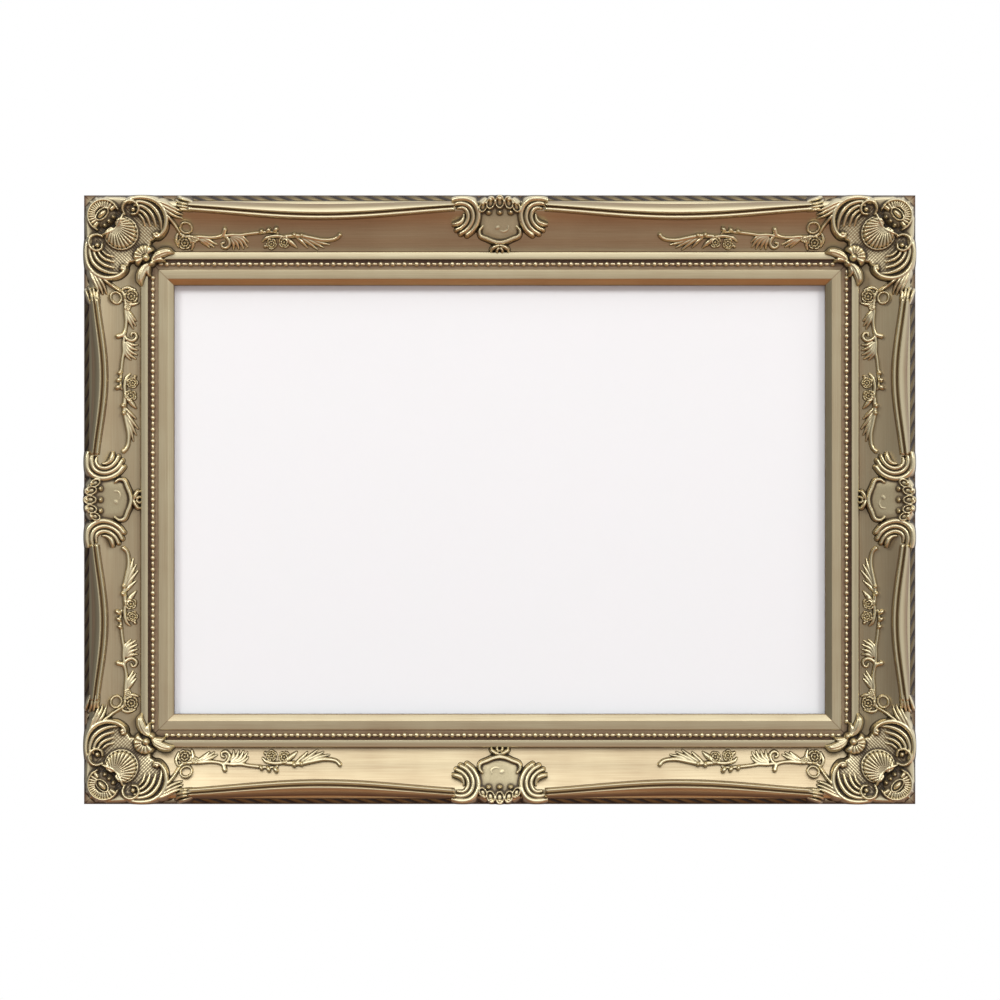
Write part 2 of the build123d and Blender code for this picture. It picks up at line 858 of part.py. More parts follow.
def build_nodes():
    """Every piece of the frame under its own name."""
    nodes = {}
    pivot_w = rebate_start - button_pivot_inset
    button_back = rail_back - button_gap - button_thickness
    button_screw_back = button_back - button_gap
    strap_back = rail_back - strap_thickness
    axis_front = rail_back - ring_axis_lift()
    lean = (ring_axis_lift() - ring_wire_radius - ring_rest_gap) / ring_length
    hanger_z = outer_height * hanger_height_share

    vnails = []
    for plane in corners.values():
        vnails += [plane.location * vnail(share * moulding_width) for share in vnail_places_share]
    button_screws = []
    shank_cuts = []
    buttons = {}
    for name in sides:
        for label, place in button_places(name).items():
            seat = Pos(place, pivot_w, 0)
            buttons[label] = on_side(name, seat * Rot(0, 0, right_angle) * turn_button())
            button_screws.append(on_side(name, seat * screw(button_screw_back)))
            shank_cuts.append(on_side(name, seat * screw_shank(button_screw_back)))
    straps = {}
    rings = {}
    hanger_screws = []
    for label, x in (("left", hanger_inset - outer_width / 2), ("right", outer_width / 2 - hanger_inset)):
        downward = Plane((x, 0, hanger_z), (-1, 0, 0), wall_normal).location
        strap = Pos(0, 0, axis_front) * hanger_strap()
        for share in strap_screw_places_share:
            seat = Pos(0, share * strap_length, 0)
            strap -= seat * screw_shank(strap_back)
            hanger_screws.append(downward * seat * screw(strap_back))
            shank_cuts.append(downward * seat * screw_shank(strap_back))
        straps[label] = downward * strap
        rings[label] = downward * Pos(0, 0, axis_front) * Rot(-lean / degree, 0, 0) * hanger_ring()

    ridges = {length: ridge_casting(length) for length in (outer_width, outer_height)}
    sprays = {length: Pos(-length / 2, 0, 0) * spray_casting() for length in (outer_width, outer_height)}
    corner = corner_casting()
    centre = centre_casting()
    for name, (plane, length, _) in sides.items():
        nodes["rail_" + name] = on_side(name, mitred(length)) - vnails - shank_cuts
        nodes["bead_row_" + name] = on_side(name, bead_row(length))
        run = rope_length_of(length)
        nodes["rope_edge_" + name] = Compound([*halves(name, run).values()])
        nodes["centre_ornament_" + name] = on_side(name, centre)
        for label, shape in halves(name, ridges[length]).items():
            nodes["swept_ridge_" + label] = shape
        for label, shape in halves(name, sprays[length]).items():
            nodes["floral_spray_" + label] = shape
    for name, plane in corners.items():
        nodes["corner_ornament_" + name] = plane.location * corner
    nodes["glass_pane"] = rebate_panel(rebate_front, glass_thickness)
    nodes["insert_card"] = rebate_panel(rebate_front - glass_thickness, card_thickness)
    nodes["backing_board"] = rebate_panel(rebate_front - glass_thickness - card_thickness, board_thickness)
    nodes["v_nails"] = Compound(vnails)
    for label, shape in buttons.items():
        nodes["turn_button_" + label] = shape
    nodes["turn_button_screws"] = Compound(button_screws)
    for label, shape in straps.items():
        nodes["hanger_strap_" + label] = shape
    for label, shape in rings.items():
        nodes["hanger_ring_" + label] = shape
    nodes["hanger_screws"] = Compound(hanger_screws)
    pad = Pos(bumper_inset, bumper_inset, 0) * RegularPolygon(bumper_width / 2, bumper_sides)
    bumper = extrude(pad, amount=bumper_thickness)
    nodes["wall_bumpers"] = Compound([plane.location * bumper for plane in corners.values()])
    return nodes


os.makedirs("parts", exist_ok=True)
for name, shape in build_nodes().items():
    export_step(shape, "parts/" + name + ".step")
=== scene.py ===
import logging
import math
from dataclasses import dataclass, field
from enum import Enum
from typing import Any, Callable, Sequence

import bpy
import numpy as np
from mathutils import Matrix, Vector


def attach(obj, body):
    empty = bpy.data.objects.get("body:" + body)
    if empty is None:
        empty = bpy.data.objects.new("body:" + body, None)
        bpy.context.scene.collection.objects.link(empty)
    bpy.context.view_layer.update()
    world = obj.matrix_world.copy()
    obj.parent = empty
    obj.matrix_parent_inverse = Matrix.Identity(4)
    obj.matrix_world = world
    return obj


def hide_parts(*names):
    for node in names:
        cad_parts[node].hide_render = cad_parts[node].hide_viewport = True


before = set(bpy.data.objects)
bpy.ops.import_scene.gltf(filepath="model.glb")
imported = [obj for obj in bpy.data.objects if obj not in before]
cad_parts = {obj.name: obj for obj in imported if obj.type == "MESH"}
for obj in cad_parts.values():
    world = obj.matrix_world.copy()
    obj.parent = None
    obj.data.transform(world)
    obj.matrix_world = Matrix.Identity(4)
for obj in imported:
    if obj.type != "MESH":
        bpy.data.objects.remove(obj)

# An ornate gilded picture frame: a machined moulding with swept ridges, rope, beads and cast ornament.
# Lengths are millimetres until a mesh is made; ornament drawings are in steps, 90 to the moulding's width.
# Local axes of a side or corner: x along it, y inward from the outer edge, z forward from the wall.

log = logging.getLogger("gilded_frame")
Array = np.ndarray
Pair = tuple[float, float]
Rows = Sequence[Sequence[float]]
Window = tuple[slice, slice]
Finishes = dict[str, bpy.types.Material]

MM = 0.001
OUTER_WIDTH = 762.0
OUTER_HEIGHT = 558.0
MOULDING = 82.5
STEP = MOULDING / 90
MITRE = math.pi / 4
FAR = 1e9


@dataclass(frozen=True)
class Placement:
    """Carries local millimetres to world metres."""

    origin: Pair
    x_axis: Pair
    y_axis: Pair
    mirrored: bool = False

    def world(self, points: Array) -> Array:
        """Works out origin + x * x_axis + y * y_axis, with z turned to face -Y.

        Args:
            points: (n, 3) local points in millimetres.

        Returns:
            (n, 3) world points in metres.
        """
        x, y, z = points.T
        x = -x if self.mirrored else x
        across, up = (self.origin[k] + x * self.x_axis[k] + y * self.y_axis[k] for k in (0, 1))
        return np.column_stack([across, -z, up]) * MM


class Side(Enum):
    """The four sides: label, middle of the outer edge on the wall, x and y axes in X and Z, length, ends."""

    TOP = ("top", (0, OUTER_HEIGHT / 2), (-1, 0), (0, -1), OUTER_WIDTH, ("top_right", "top_left"))
    BOTTOM = ("bottom", (0, -OUTER_HEIGHT / 2), (1, 0), (0, 1), OUTER_WIDTH, ("bottom_left", "bottom_right"))
    LEFT = ("left", (-OUTER_WIDTH / 2, 0), (0, -1), (1, 0), OUTER_HEIGHT, ("left_upper", "left_lower"))
    RIGHT = ("right", (OUTER_WIDTH / 2, 0), (0, 1), (-1, 0), OUTER_HEIGHT, ("right_lower", "right_upper"))

    def __init__(
        self, label: str, origin: Pair, x_axis: Pair, y_axis: Pair, length: float, ends: tuple[str, str]
    ) -> None:
        """Names the parts of the value."""
        self.label, self.length, self.ends = label, length, ends
        self.origin, self.x_axis, self.y_axis = origin, x_axis, y_axis

    def placement(self, mirrored: bool = False) -> Placement:
        """Placement of a shape drawn along this side."""
        return Placement(self.origin, self.x_axis, self.y_axis, mirrored)

    def halves(self) -> list[tuple[str, Placement]]:
        """Label and placement of its two halves, the second a mirror image."""
        return [(label, self.placement(mirrored)) for label, mirrored in zip(self.ends, (False, True))]


class Corner(Enum):
    """The four corners: label, then the outer corner on the wall and the x and y axes in world X and Z."""

    TOP_LEFT = ("top_left", Placement((-OUTER_WIDTH / 2, OUTER_HEIGHT / 2), (0, -1), (1, 0)))
    TOP_RIGHT = ("top_right", Placement((OUTER_WIDTH / 2, OUTER_HEIGHT / 2), (-1, 0), (0, -1)))
    BOTTOM_RIGHT = ("bottom_right", Placement((OUTER_WIDTH / 2, -OUTER_HEIGHT / 2), (0, 1), (-1, 0)))
    BOTTOM_LEFT = ("bottom_left", Placement((-OUTER_WIDTH / 2, -OUTER_HEIGHT / 2), (1, 0), (0, 1)))


# Meshes


def make_piece(
    name: str,
    points: Array,
    faces: Array,
    caps: Sequence[Array],
    placement: Placement | None,
    materials: Sequence[bpy.types.Material],
    relief: Array | None = None,
    uv: Array | None = None,
    slots: Array | None = None,
    crease: float = 180.0,
) -> bpy.types.Object:
    """Makes one mesh object at the origin from whole arrays.

    Args:
        name: Object name.
        points: (n, 3) points, local millimetres, or world metres where placement is None.
        faces: (m, 4) corner indices, outward normals in the local frame.
        caps: Further faces of any length, each an index array.
        placement: Where it goes.
        materials: Its materials, in slot order.
        relief: Wear at each point, 0 in the deepest recess and 1 on the highest crest.
        uv: (n, 2) coordinates in metres.
        slots: Material slot of each quad; the caps take the highest.
        crease: Bend in degrees from which an edge is shaded sharp.

    Returns:
        The new object.
    """
    world = placement.world(points) if placement else points
    if placement and placement.mirrored:
        faces = faces[:, ::-1]
        caps = [cap[::-1] for cap in caps]
    loops = np.concatenate([faces.ravel(), *caps]).astype(np.int32)
    totals = np.array([4] * len(faces) + [len(cap) for cap in caps])
    mesh = bpy.data.meshes.new(name)
    mesh.vertices.add(len(world))
    mesh.vertices.foreach_set("co", world.astype(np.float32).ravel())
    mesh.loops.add(len(loops))
    mesh.loops.foreach_set("vertex_index", loops)
    mesh.polygons.add(len(totals))
    mesh.polygons.foreach_set("loop_start", (np.cumsum(totals) - totals).astype(np.int32))
    mesh.polygons.foreach_set("use_smooth", np.ones(len(totals), dtype=bool))
    if slots is not None:
        every = np.concatenate([slots, np.full(len(caps), slots.max())])
        mesh.polygons.foreach_set("material_index", every.astype(np.int32))
    if relief is not None:
        layer = mesh.attributes.new("relief", "FLOAT", "POINT")
        layer.data.foreach_set("value", relief.astype(np.float32).ravel())
    if uv is not None:
        layer = mesh.uv_layers.new(name="lay")
        layer.data.foreach_set("uv", uv[loops].astype(np.float32).ravel())
    for material in materials:
        mesh.materials.append(material)
    mesh.update(calc_edges=True)
    if crease < 180:
        mesh.set_sharp_from_angle(angle=math.radians(crease))
    piece = bpy.data.objects.new(name, mesh)
    bpy.context.scene.collection.objects.link(piece)
    return piece


def dress(piece: bpy.types.Object, body: str, slot: str, *nodes: str) -> None:
    """Lets a piece ride its body, hides the nodes it stands for, and logs it.

    Args:
        piece: The mesh object.
        body: The body it rides.
        slot: Its finish slot; not used.
        nodes: The CAD nodes it stands for.
    """
    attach(piece, body)
    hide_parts(*nodes)
    log.info("%s: %d faces, on %s", piece.name, len(piece.data.polygons), body)


def rows_of(*grids: Array) -> Array:
    """Grids brought to one shape and set side by side, one row to each grid point."""
    return np.stack(np.broadcast_arrays(*grids), axis=-1).reshape(-1, len(grids))


def tube(stations: int, ring: int, first: int = 0) -> tuple[Array, list[Array]]:
    """Faces of a closed section carried along a path, section points clockwise seen from the path's end.

    Args:
        stations: Number of sections.
        ring: Points in a section.
        first: Index of the first point.

    Returns:
        (m, 4) quads and the two end faces.
    """
    i, j = np.meshgrid(np.arange(stations - 1), np.arange(ring), indexing="ij")
    near, far, after = first + i * ring, first + (i + 1) * ring, (j + 1) % ring
    quads = np.stack([far + j, far + after, near + after, near + j], axis=-1).reshape(-1, 4)
    start = first + np.arange(ring)
    return quads, [start, (start + (stations - 1) * ring)[::-1]]


def smooth_line(points: Rows, per_span: int) -> Array:
    """Catmull-Rom curve: each span is the cubic through its ends with slopes half its neighbours' difference.

    Args:
        points: Control rows of any width.
        per_span: Samples on each span.

    Returns:
        (n, k) samples, both ends kept.
    """
    rows = np.asarray(points, dtype=float)
    last = len(rows) - 1
    s = np.linspace(0, last, last * per_span + 1)
    i = np.minimum(s.astype(int), last - 1)
    t = (s - i)[:, None]
    before, start, end, after = (rows[np.clip(i + k, 0, last)] for k in (-1, 0, 1, 2))
    slope_in, slope_out = (end - before) / 2, (after - start) / 2
    return (
        (2 * t**3 - 3 * t**2 + 1) * start
        + (t**3 - 2 * t**2 + t) * slope_in
        + (3 * t**2 - 2 * t**3) * end
        + (t**3 - t**2) * slope_out
    )


def smoothstep(low: float, high: float, values: Array) -> Array:
    """Cubic ramp 3t^2 - 2t^3 from 0 at low to 1 at high."""
    t = np.clip((values - low) / (high - low), 0, 1)
    return t * t * (3 - 2 * t)


def between(values: Array, low: float, high: float) -> Array:
    """Where values lie between low and high."""
    return (values > low) & (values < high)


def dome(q: Array) -> Array:
    """Half circle sqrt(1 - q^2), 0 from q = 1 on."""
    return np.sqrt(np.clip(1 - q**2, 0, 1))


def reeding(across: Array) -> Array:
    """Half circles side by side, one to each whole number."""
    return dome(2 * (across % 1) - 1)


def soften(values: Array, sigma: float) -> Array:
    """Separable Gaussian blur of a grid with its edges held.

    Args:
        values: The grid.
        sigma: Spread in cells.

    Returns:
        The blurred grid.
    """
    reach = max(1, int(math.ceil(sigma * 2.6)))
    taps = np.exp(-0.5 * (np.arange(-reach, reach + 1) / sigma) ** 2)
    taps /= taps.sum()
    for axis in (0, 1):
        wide = np.pad(values, [(reach, reach) if a == axis else (0, 0) for a in (0, 1)], mode="edge")
        size = values.shape[axis]
        values = sum(tap * np.take(wide, np.arange(k, k + size), axis=axis) for k, tap in enumerate(taps))
    return values


# The moulding


@dataclass(frozen=True)
class Moulding:
    """Section of the rails, w inward from the outer edge and f forward from the wall."""

    ledge: tuple[Pair, ...] = ((0.0, 17.7), (0.3, 18.0), (5.98, 18.0))
    shoulder: tuple[Pair, ...] = ((6.0, 29.0), (6.4, 30.6), (7.8, 32.2), (9.8, 33.2), (12.0, 33.5))
    scoop: tuple[Pair, ...] = (
        (15.0, 33.5), (18.0, 32.2), (22.5, 30.0), (27.5, 27.8), (33.0, 25.8), (39.0, 23.9), (44.0, 22.2),
        (48.0, 20.9), (50.8, 20.2), (52.0, 20.0),
    )
    lip: tuple[Pair, ...] = (
        (52.0, 20.0), (52.2, 22.8), (52.7, 23.9), (54.0, 24.2), (56.0, 24.5), (57.0, 24.6), (57.8, 24.6),
        (58.7, 24.5),
    )
    inner: tuple[Pair, ...] = (
        (59.0, 24.2), (59.2, 20.5), (68.2, 20.5), (68.4, 21.6), (68.8, 21.85), (69.2, 21.9), (76.2, 22.15),
        (76.7, 22.1), (77.1, 21.9), (77.5, 21.6), (81.8, 18.2), (82.2, 17.8), (82.5, 17.4),
    )
    rebate: tuple[Pair, ...] = ((82.5, 11.8), (76.0, 11.8), (76.0, 5.08), (0.3, 5.08), (0.0, 5.4))

    def face(self) -> Array:
        """Front line from the outer edge to the sight edge, curves sampled finely."""
        curves = [smooth_line(self.shoulder, 4), smooth_line(self.scoop, 5), smooth_line(self.lip, 3)]
        return np.concatenate([np.array(self.ledge), *curves, np.array(self.inner)])

    def front(self, w: Array) -> Array:
        """Forward distance of the bare face, by straight lines between its points.

        Args:
            w: Distances from the outer edge in millimetres.

        Returns:
            Distances from the wall in millimetres.
        """
        line = self.face()
        # A millionth a point keeps the places rising where the section stands upright.
        places = np.maximum.accumulate(line[:, 0] + np.arange(len(line)) * 1e-6)
        return np.interp(w, places, line[:, 1])


# Carved relief


class Cut(Enum):
    """How the cross-section of a carved stroke is worked."""

    ROUND = "round"
    REEDED = "reeded"


@dataclass
class Relief:
    """A carved sheet: forward distance over a square grid in steps, raised motif by motif.

    Attributes:
        low: Lowest corner of the grid, in steps.
        high: Highest corner.
        cell: Grid spacing in steps.
        bare: Front of the moulding at each grid point, in millimetres.
        carrier: Front of the surface that motifs stand on.
        blur: Softening of the casting, in cells.
        wall_slope: Fall outside a motif's edge, in millimetres a step.
        margin: How far a window goes past its motif, in steps.
        dip: How far the sheet may sink below the moulding, in millimetres.
        showing: Height over the moulding from which it counts as casting.
        sink: How far the side walls go into the moulding, in millimetres.
        thickness: Thickness of the casting below that.
        crests: Reach in steps and weight of the finer wear, on crests and in cuts.
        forms: The same for the broader wear, over whole motifs.
    """

    low: Pair
    high: Pair
    cell: float
    bare: Callable[[Array, Array], Array]
    carrier: Callable[[Array, Array], Array]
    blur: float = 0.75
    wall_slope: float = 3.2
    margin: float = 2.0
    dip: float = 3.0
    showing: float = 0.03
    sink: float = 1.3
    thickness: float = 0.9
    crests: Pair = (1.3, 0.36)
    forms: Pair = (3.6, 0.12)
    u: Array = field(init=False)
    v: Array = field(init=False)
    top: Array = field(init=False)
    base: Array = field(init=False)

    def __post_init__(self) -> None:
        """Lays out the grid."""
        counts = [int(round((h - l) / self.cell)) + 1 for l, h in zip(self.low, self.high)]
        axes = [l + self.cell * np.arange(n) for l, n in zip(self.low, counts)]
        self.u, self.v = np.meshgrid(*axes, indexing="ij")
        self.base = self.carrier(self.u, self.v)
        self.top = np.full(self.u.shape, -FAR)

    def window(self, points: Array, reach: float) -> Window:
        """Grid slices around some points, widened by reach.

        Args:
            points: (n, 2) or wider rows that start with u and v.
            reach: Steps added on each side.

        Returns:
            One slice for each axis of the grid.
        """
        cuts = []
        for axis in (0, 1):
            first = int((points[:, axis].min() - reach - self.low[axis]) / self.cell)
            last = int((points[:, axis].max() + reach - self.low[axis]) / self.cell) + 2
            cuts.append(slice(max(first, 0), max(last, 0)))
        return cuts[0], cuts[1]

    def around(
        self, centre: Pair, reach: float, stretch: float = 1.0, turn: float = 0.0
    ) -> tuple[Window, Array, Array]:
        """Grid about a centre, in axes turned there and shrunk along the first.

        Args:
            centre: The point, in steps.
            reach: How far the window goes.
            stretch: Length of the motif over its width.
            turn: Angle of its length, in radians.

        Returns:
            The window, then x and y from the centre at each of its points.
        """
        where = self.window(np.array([centre]), reach)
        du, dv = self.u[where] - centre[0], self.v[where] - centre[1]
        x = (du * math.cos(turn) + dv * math.sin(turn)) / stretch
        return where, x, dv * math.cos(turn) - du * math.sin(turn)

    def lay(self, where: Window, height: Array, beyond: Array, lift: float = 0.0) -> None:
        """Raises the sheet to carrier + lift + height inside a motif, and less by the wall slope outside it.

        Args:
            where: The window worked in.
            height: Height inside the motif, in millimetres.
            beyond: Steps outside its edge, below 0 inside.
            lift: Height of the ground under it.
        """
        raised = self.base[where] + lift + np.where(beyond < 0, height, -self.wall_slope * beyond)
        self.top[where] = np.maximum(self.top[where], raised)

    def plate(self, outline: Sequence[Pair], rise: float, edge: float = 1.5) -> None:
        """A flat ground over an outline; its height climbs over the edge width and falls outside.

        Args:
            outline: Corners in steps.
            rise: Height over the carrier.
            edge: Width of the rounded border in steps.
        """
        ring = np.asarray(outline, dtype=float)
        where = self.window(ring, self.margin + 1)
        u, v = self.u[where], self.v[where]
        inside = np.zeros(u.shape, dtype=bool)
        nearest = np.full(u.shape, FAR)
        for a, b in zip(ring, np.roll(ring, -1, axis=0)):
            run = b - a
            crossing = (a[1] > v) != (b[1] > v)
            with np.errstate(divide="ignore", invalid="ignore"):
                inside ^= crossing & (u < run[0] * (v - a[1]) / run[1] + a[0])
            t = np.clip(((u - a[0]) * run[0] + (v - a[1]) * run[1]) / (run @ run), 0, 1)
            nearest = np.minimum(nearest, np.hypot(u - a[0] - t * run[0], v - a[1] - t * run[1]))
        depth = np.where(inside, nearest, -nearest)
        self.lay(where, rise * dome(1 - np.clip(depth / edge, 0, 1)), -depth)

    def nearest_on(self, line: Array, where: Window) -> tuple[Array, Array, Array]:
        """Finds the closest place on a line for each grid point.

        Args:
            line: Samples whose first two columns are u and v.
            where: The window worked in.

        Returns:
            Distance, signed offset to the side, and row number with its fraction.
        """
        u, v = self.u[where], self.v[where]
        best = np.full(u.shape, FAR)
        side, place = np.zeros(u.shape), np.zeros(u.shape)
        for k, (a, b) in enumerate(zip(line[:-1, :2], line[1:, :2])):
            run = b - a
            length = max(float(np.hypot(*run)), 1e-6)
            du, dv = u - a[0], v - a[1]
            t = np.clip((du * run[0] + dv * run[1]) / length**2, 0, 1)
            gap = np.hypot(du - t * run[0], dv - t * run[1])
            closer = gap < best
            best = np.where(closer, gap, best)
            side = np.where(closer, (run[0] * dv - run[1] * du) / length, side)
            place = np.where(closer, k + t, place)
        return best, side, place

    def stroke(
        self, stations: Rows, rise: float, cut: Cut = Cut.ROUND, reeds: int = 3, lift: float = 0.0,
        groove: float = 0.42,
    ) -> None:
        """A carved strand along a smooth line.

        The section is a half ellipse, rise * sqrt(1 - q^2) with q the offset over the half width, and reeds
        multiply it by 1 - groove * (1 - half circles across).

        Args:
            stations: Rows of u, v, width and share of the rise.
            rise: Height of a share of 1.
            cut: How the section is worked.
            reeds: Number of reeds.
            lift: Height of the ground under it.
            groove: Depth between reeds, as a share of the height.
        """
        line = smooth_line(stations, 6)
        where = self.window(line, float(line[:, 2].max()) / 2 + self.margin)
        gap, side, place = self.nearest_on(line, where)
        index = np.arange(len(line))
        half = np.maximum(np.interp(place, index, line[:, 2]) / 2, 0.15)
        height = rise * np.interp(place, index, line[:, 3]) * dome(gap / half)
        if cut is Cut.REEDED:
            crest = reeding((np.clip(side / half, -1, 1) + 1) / 2 * reeds)
            height = height * (1 - groove * (1 - crest))
        self.lay(where, height, gap - half, lift)

    def ball(
        self, u: float, v: float, radius: float, rise: float, stretch: float = 1.0, turn: float = 0.0,
        lift: float = 0.0,
    ) -> None:
        """A half ellipsoid: rise * sqrt(1 - q^2), q measured in its own turned and stretched axes.

        Args:
            u: Centre along the first axis.
            v: Centre along the second axis.
            radius: Half width in steps.
            rise: Height in millimetres.
            stretch: Length over width.
            turn: Angle of its length, in radians.
            lift: Height of the ground under it.
        """
        where, x, y = self.around((u, v), radius * max(stretch, 1) + self.margin, stretch, turn)
        q = np.hypot(x, y) / radius
        self.lay(where, rise * dome(q), (q - 1) * radius, lift)

    def ring(
        self, u: float, v: float, radius: float, width: float, rise: float, stretch: float = 1.0,
        turn: float = 0.0,
    ) -> None:
        """A half-round ring: rise * sqrt(1 - (gap / half width)^2) about an ellipse.

        Args:
            u: Centre along the first axis.
            v: Centre along the second axis.
            radius: Half width of the ellipse in steps.
            width: Width of the ring.
            rise: Height in millimetres.
            stretch: Length over width.
            turn: Angle of its length, in radians.
        """
        where, x, y = self.around((u, v), radius * max(stretch, 1) + width + self.margin, stretch, turn)
        gap = np.abs(np.hypot(x, y) - radius)
        self.lay(where, rise * dome(gap / (width / 2)), gap - width / 2)

    def fan(
        self, hinge: Pair, offset: float, rim: float, inner: float, facing: float, spread: float, ribs: int,
        rise: float, groove: float, crown: float = 0.5,
    ) -> None:
        """Radial ribs from a hinge out to a circle set forward of it.

        With q the share of the way to the rim, the height is rise * (crown + (1 - crown) * s), with s as
        sin(pi * (0.1 + 0.75 q)), less groove * (1 - half circle across each rib), rounded down over the last
        tenth. Ribs widen to the ends: with t the share of the half spread, they run as 1.28 t - 0.28 t^3.

        Args:
            hinge: Where the ribs meet.
            offset: Distance from the hinge to the circle's centre, in steps.
            rim: Radius of the circle.
            inner: Radius of the open middle.
            facing: Direction of the fan, in radians.
            spread: Angle it takes in.
            ribs: Number of ribs.
            rise: Height in millimetres.
            groove: Depth between ribs.
            crown: Height at the hinge as a share of the rise.
        """
        where, du, dv = self.around(hinge, offset + rim + self.margin + 1)
        swing = (np.arctan2(dv, du) - facing + math.pi) % (2 * math.pi) - math.pi
        r = np.hypot(du, dv)
        inside = np.clip(swing, -spread / 2, spread / 2)
        reach = offset * np.cos(inside) + np.sqrt(np.clip(rim**2 - (offset * np.sin(inside)) ** 2, 0, None))
        turn = inside / spread * 2
        crest = reeding((1.28 * turn - 0.28 * turn**3 + 1) / 2 * ribs)
        reach = reach * (1 - 0.035 * (1 - crest))
        q = r / reach
        body = rise * (crown + (1 - crown) * np.sin(math.pi * (0.1 + 0.75 * np.clip(q, 0, 1))))
        body -= groove * (1 - crest) * smoothstep(0.1, 0.45, q)
        past_side = np.sin(np.clip(np.abs(swing) - spread / 2, 0, 1.5)) * r
        beyond = np.maximum(np.maximum((q - 1) * reach, past_side), inner - r)
        # Inside, past_side is 0 and not below it, so a hair past the edge still counts as inside.
        self.lay(where, body * dome(np.clip(q - 0.9, 0, 0.1) / 0.1), np.where(beyond < 0.001, -1.0, beyond))

    def rose(
        self, u: float, v: float, radius: float, rise: float, turn: float = 0.0, petals: int = 5
    ) -> None:
        """An open rose: lobed outer petals with raised rims, an inner ring of petals and a button.

        The rim radius is radius * (0.88 + 0.12 |cos(petals * angle / 2)|). The height is rise * (0.45 + 0.55
        ridge), ridge being the highest of round waves at q = 0.84, 0.46 and 0, notched where two petals meet.

        Args:
            u: Centre along the first axis.
            v: Centre along the second axis.
            radius: Outer radius in steps.
            rise: Height in millimetres.
            turn: Angle of the first petal, in radians.
            petals: Number of petals.
        """
        where, du, dv = self.around((u, v), radius + self.margin)
        angle = petals * (np.arctan2(dv, du) + turn) / 2
        lobe = np.abs(np.cos(angle))
        q = np.hypot(du, dv) / (radius * (0.88 + 0.12 * lobe))
        outer = np.exp(-(((q - 0.84) / 0.14) ** 2)) * smoothstep(0.0, 0.45, lobe)
        inner = np.exp(-(((q - 0.46) / 0.11) ** 2)) * smoothstep(0.0, 0.4, np.abs(np.sin(angle)))
        button = np.exp(-((q / 0.19) ** 2))
        ridge = np.maximum(np.maximum(outer, inner * 1.1), button * 1.25)
        edge = dome(np.clip(q - 0.85, 0, 0.15) / 0.15)
        self.lay(where, rise * (0.45 + 0.55 * ridge) * edge, (q - 1) * radius)

    def hatch(self, depth: float, pitch: float, angle: float, mask: Array) -> None:
        """Cuts parallel V-grooves: depth * (1 - triangle wave) across the given direction.

        Args:
            depth: Depth in millimetres.
            pitch: Distance between grooves in steps.
            angle: Direction across them, in radians.
            mask: Share of the depth cut at each grid point.
        """
        across = (self.u * math.cos(angle) + self.v * math.sin(angle)) / pitch
        self.top -= depth * mask * np.abs(2 * (across % 1) - 1)

    def worn(self, shown: Array) -> Array:
        """Wear from 0 to 1: 0.5 plus the height over two blurred copies of the sheet.

        Args:
            shown: Front of the sheet or the moulding, whichever is further forward.

        Returns:
            Wear at each grid point.
        """
        fine, broad = (
            gain * (shown - soften(shown, reach / self.cell)) for reach, gain in (self.crests, self.forms)
        )
        return np.clip(0.5 + fine + broad, 0, 1)

    def piece(
        self, name: str, placement: Placement, material: bpy.types.Material, shift: float = 0.0
    ) -> bpy.types.Object:
        """Turns the sheet into a closed shell of the cells over the moulding, with a back and side walls.

        Args:
            name: Object name.
            placement: Where it goes.
            material: Its finish.
            shift: Distance it is moved along u, in steps.

        Returns:
            The new object.
        """
        bare = self.bare(self.u, self.v)
        top = soften(np.maximum(self.top, bare - self.dip), self.blur)
        relief = self.worn(np.maximum(top, bare))
        above = top > bare + self.showing
        keep = above[:-1, :-1] | above[1:, :-1] | above[:-1, 1:] | above[1:, 1:]
        # Cells that meet only at a corner would pinch the walls, so a neighbour is added to each such pair.
        for _ in range(4):
            a, b, c, d = keep[:-1, :-1], keep[1:, :-1], keep[:-1, 1:], keep[1:, 1:]
            rising, falling = a & d & ~b & ~c, b & c & ~a & ~d
            keep[1:, :-1] |= rising
            keep[:-1, :-1] |= falling
        used = np.zeros(top.shape, dtype=bool)
        for du in (0, 1):
            for dv in (0, 1):
                used[du : du + keep.shape[0], dv : dv + keep.shape[1]] |= keep
        number = np.cumsum(used).reshape(used.shape) - 1
        count = int(used.sum())
        i, j = np.nonzero(keep)
        a, b, c, d = number[i, j], number[i + 1, j], number[i + 1, j + 1], number[i, j + 1]
        faces = [np.stack([a, b, c, d], axis=1), np.stack([d, c, b, a], axis=1) + count]
        padded = np.pad(keep, 1)
        for i_next, j_next, start, end in ((0, 1, d, a), (2, 1, b, c), (1, 0, a, b), (1, 2, c, d)):
            open_side = ~padded[i + i_next, j + j_next]
            s, e = start[open_side], end[open_side]
            faces.append(np.stack([s, s + count, e + count, e], axis=1))
        flat = np.stack([(self.u[used] + shift) * STEP, self.v[used] * STEP], axis=1)
        front = np.maximum(top, bare - self.sink)[used]
        back = (bare - self.sink)[used] - self.thickness
        points = np.concatenate([np.column_stack([flat, front]), np.column_stack([flat, back])])
        values = np.concatenate([relief[used], np.zeros(count)])
        return make_piece(name, points, np.concatenate(faces), (), placement, [material], values)


# Finishes


def linear(colour: str) -> tuple[float, float, float, float]:
    """Turns an sRGB hex colour to linear: c / 12.92 below 0.04045, else ((c + 0.055) / 1.055)^2.4.

    Args:
        colour: Six hex digits after a hash sign.

    Returns:
        Linear red, green and blue, and an alpha of 1.
    """
    shares = np.array([int(colour[k : k + 2], 16) / 255 for k in (1, 3, 5)])
    values = np.where(shares <= 0.04045, shares / 12.92, ((shares + 0.055) / 1.055) ** 2.4)
    return float(values[0]), float(values[1]), float(values[2]), 1.0


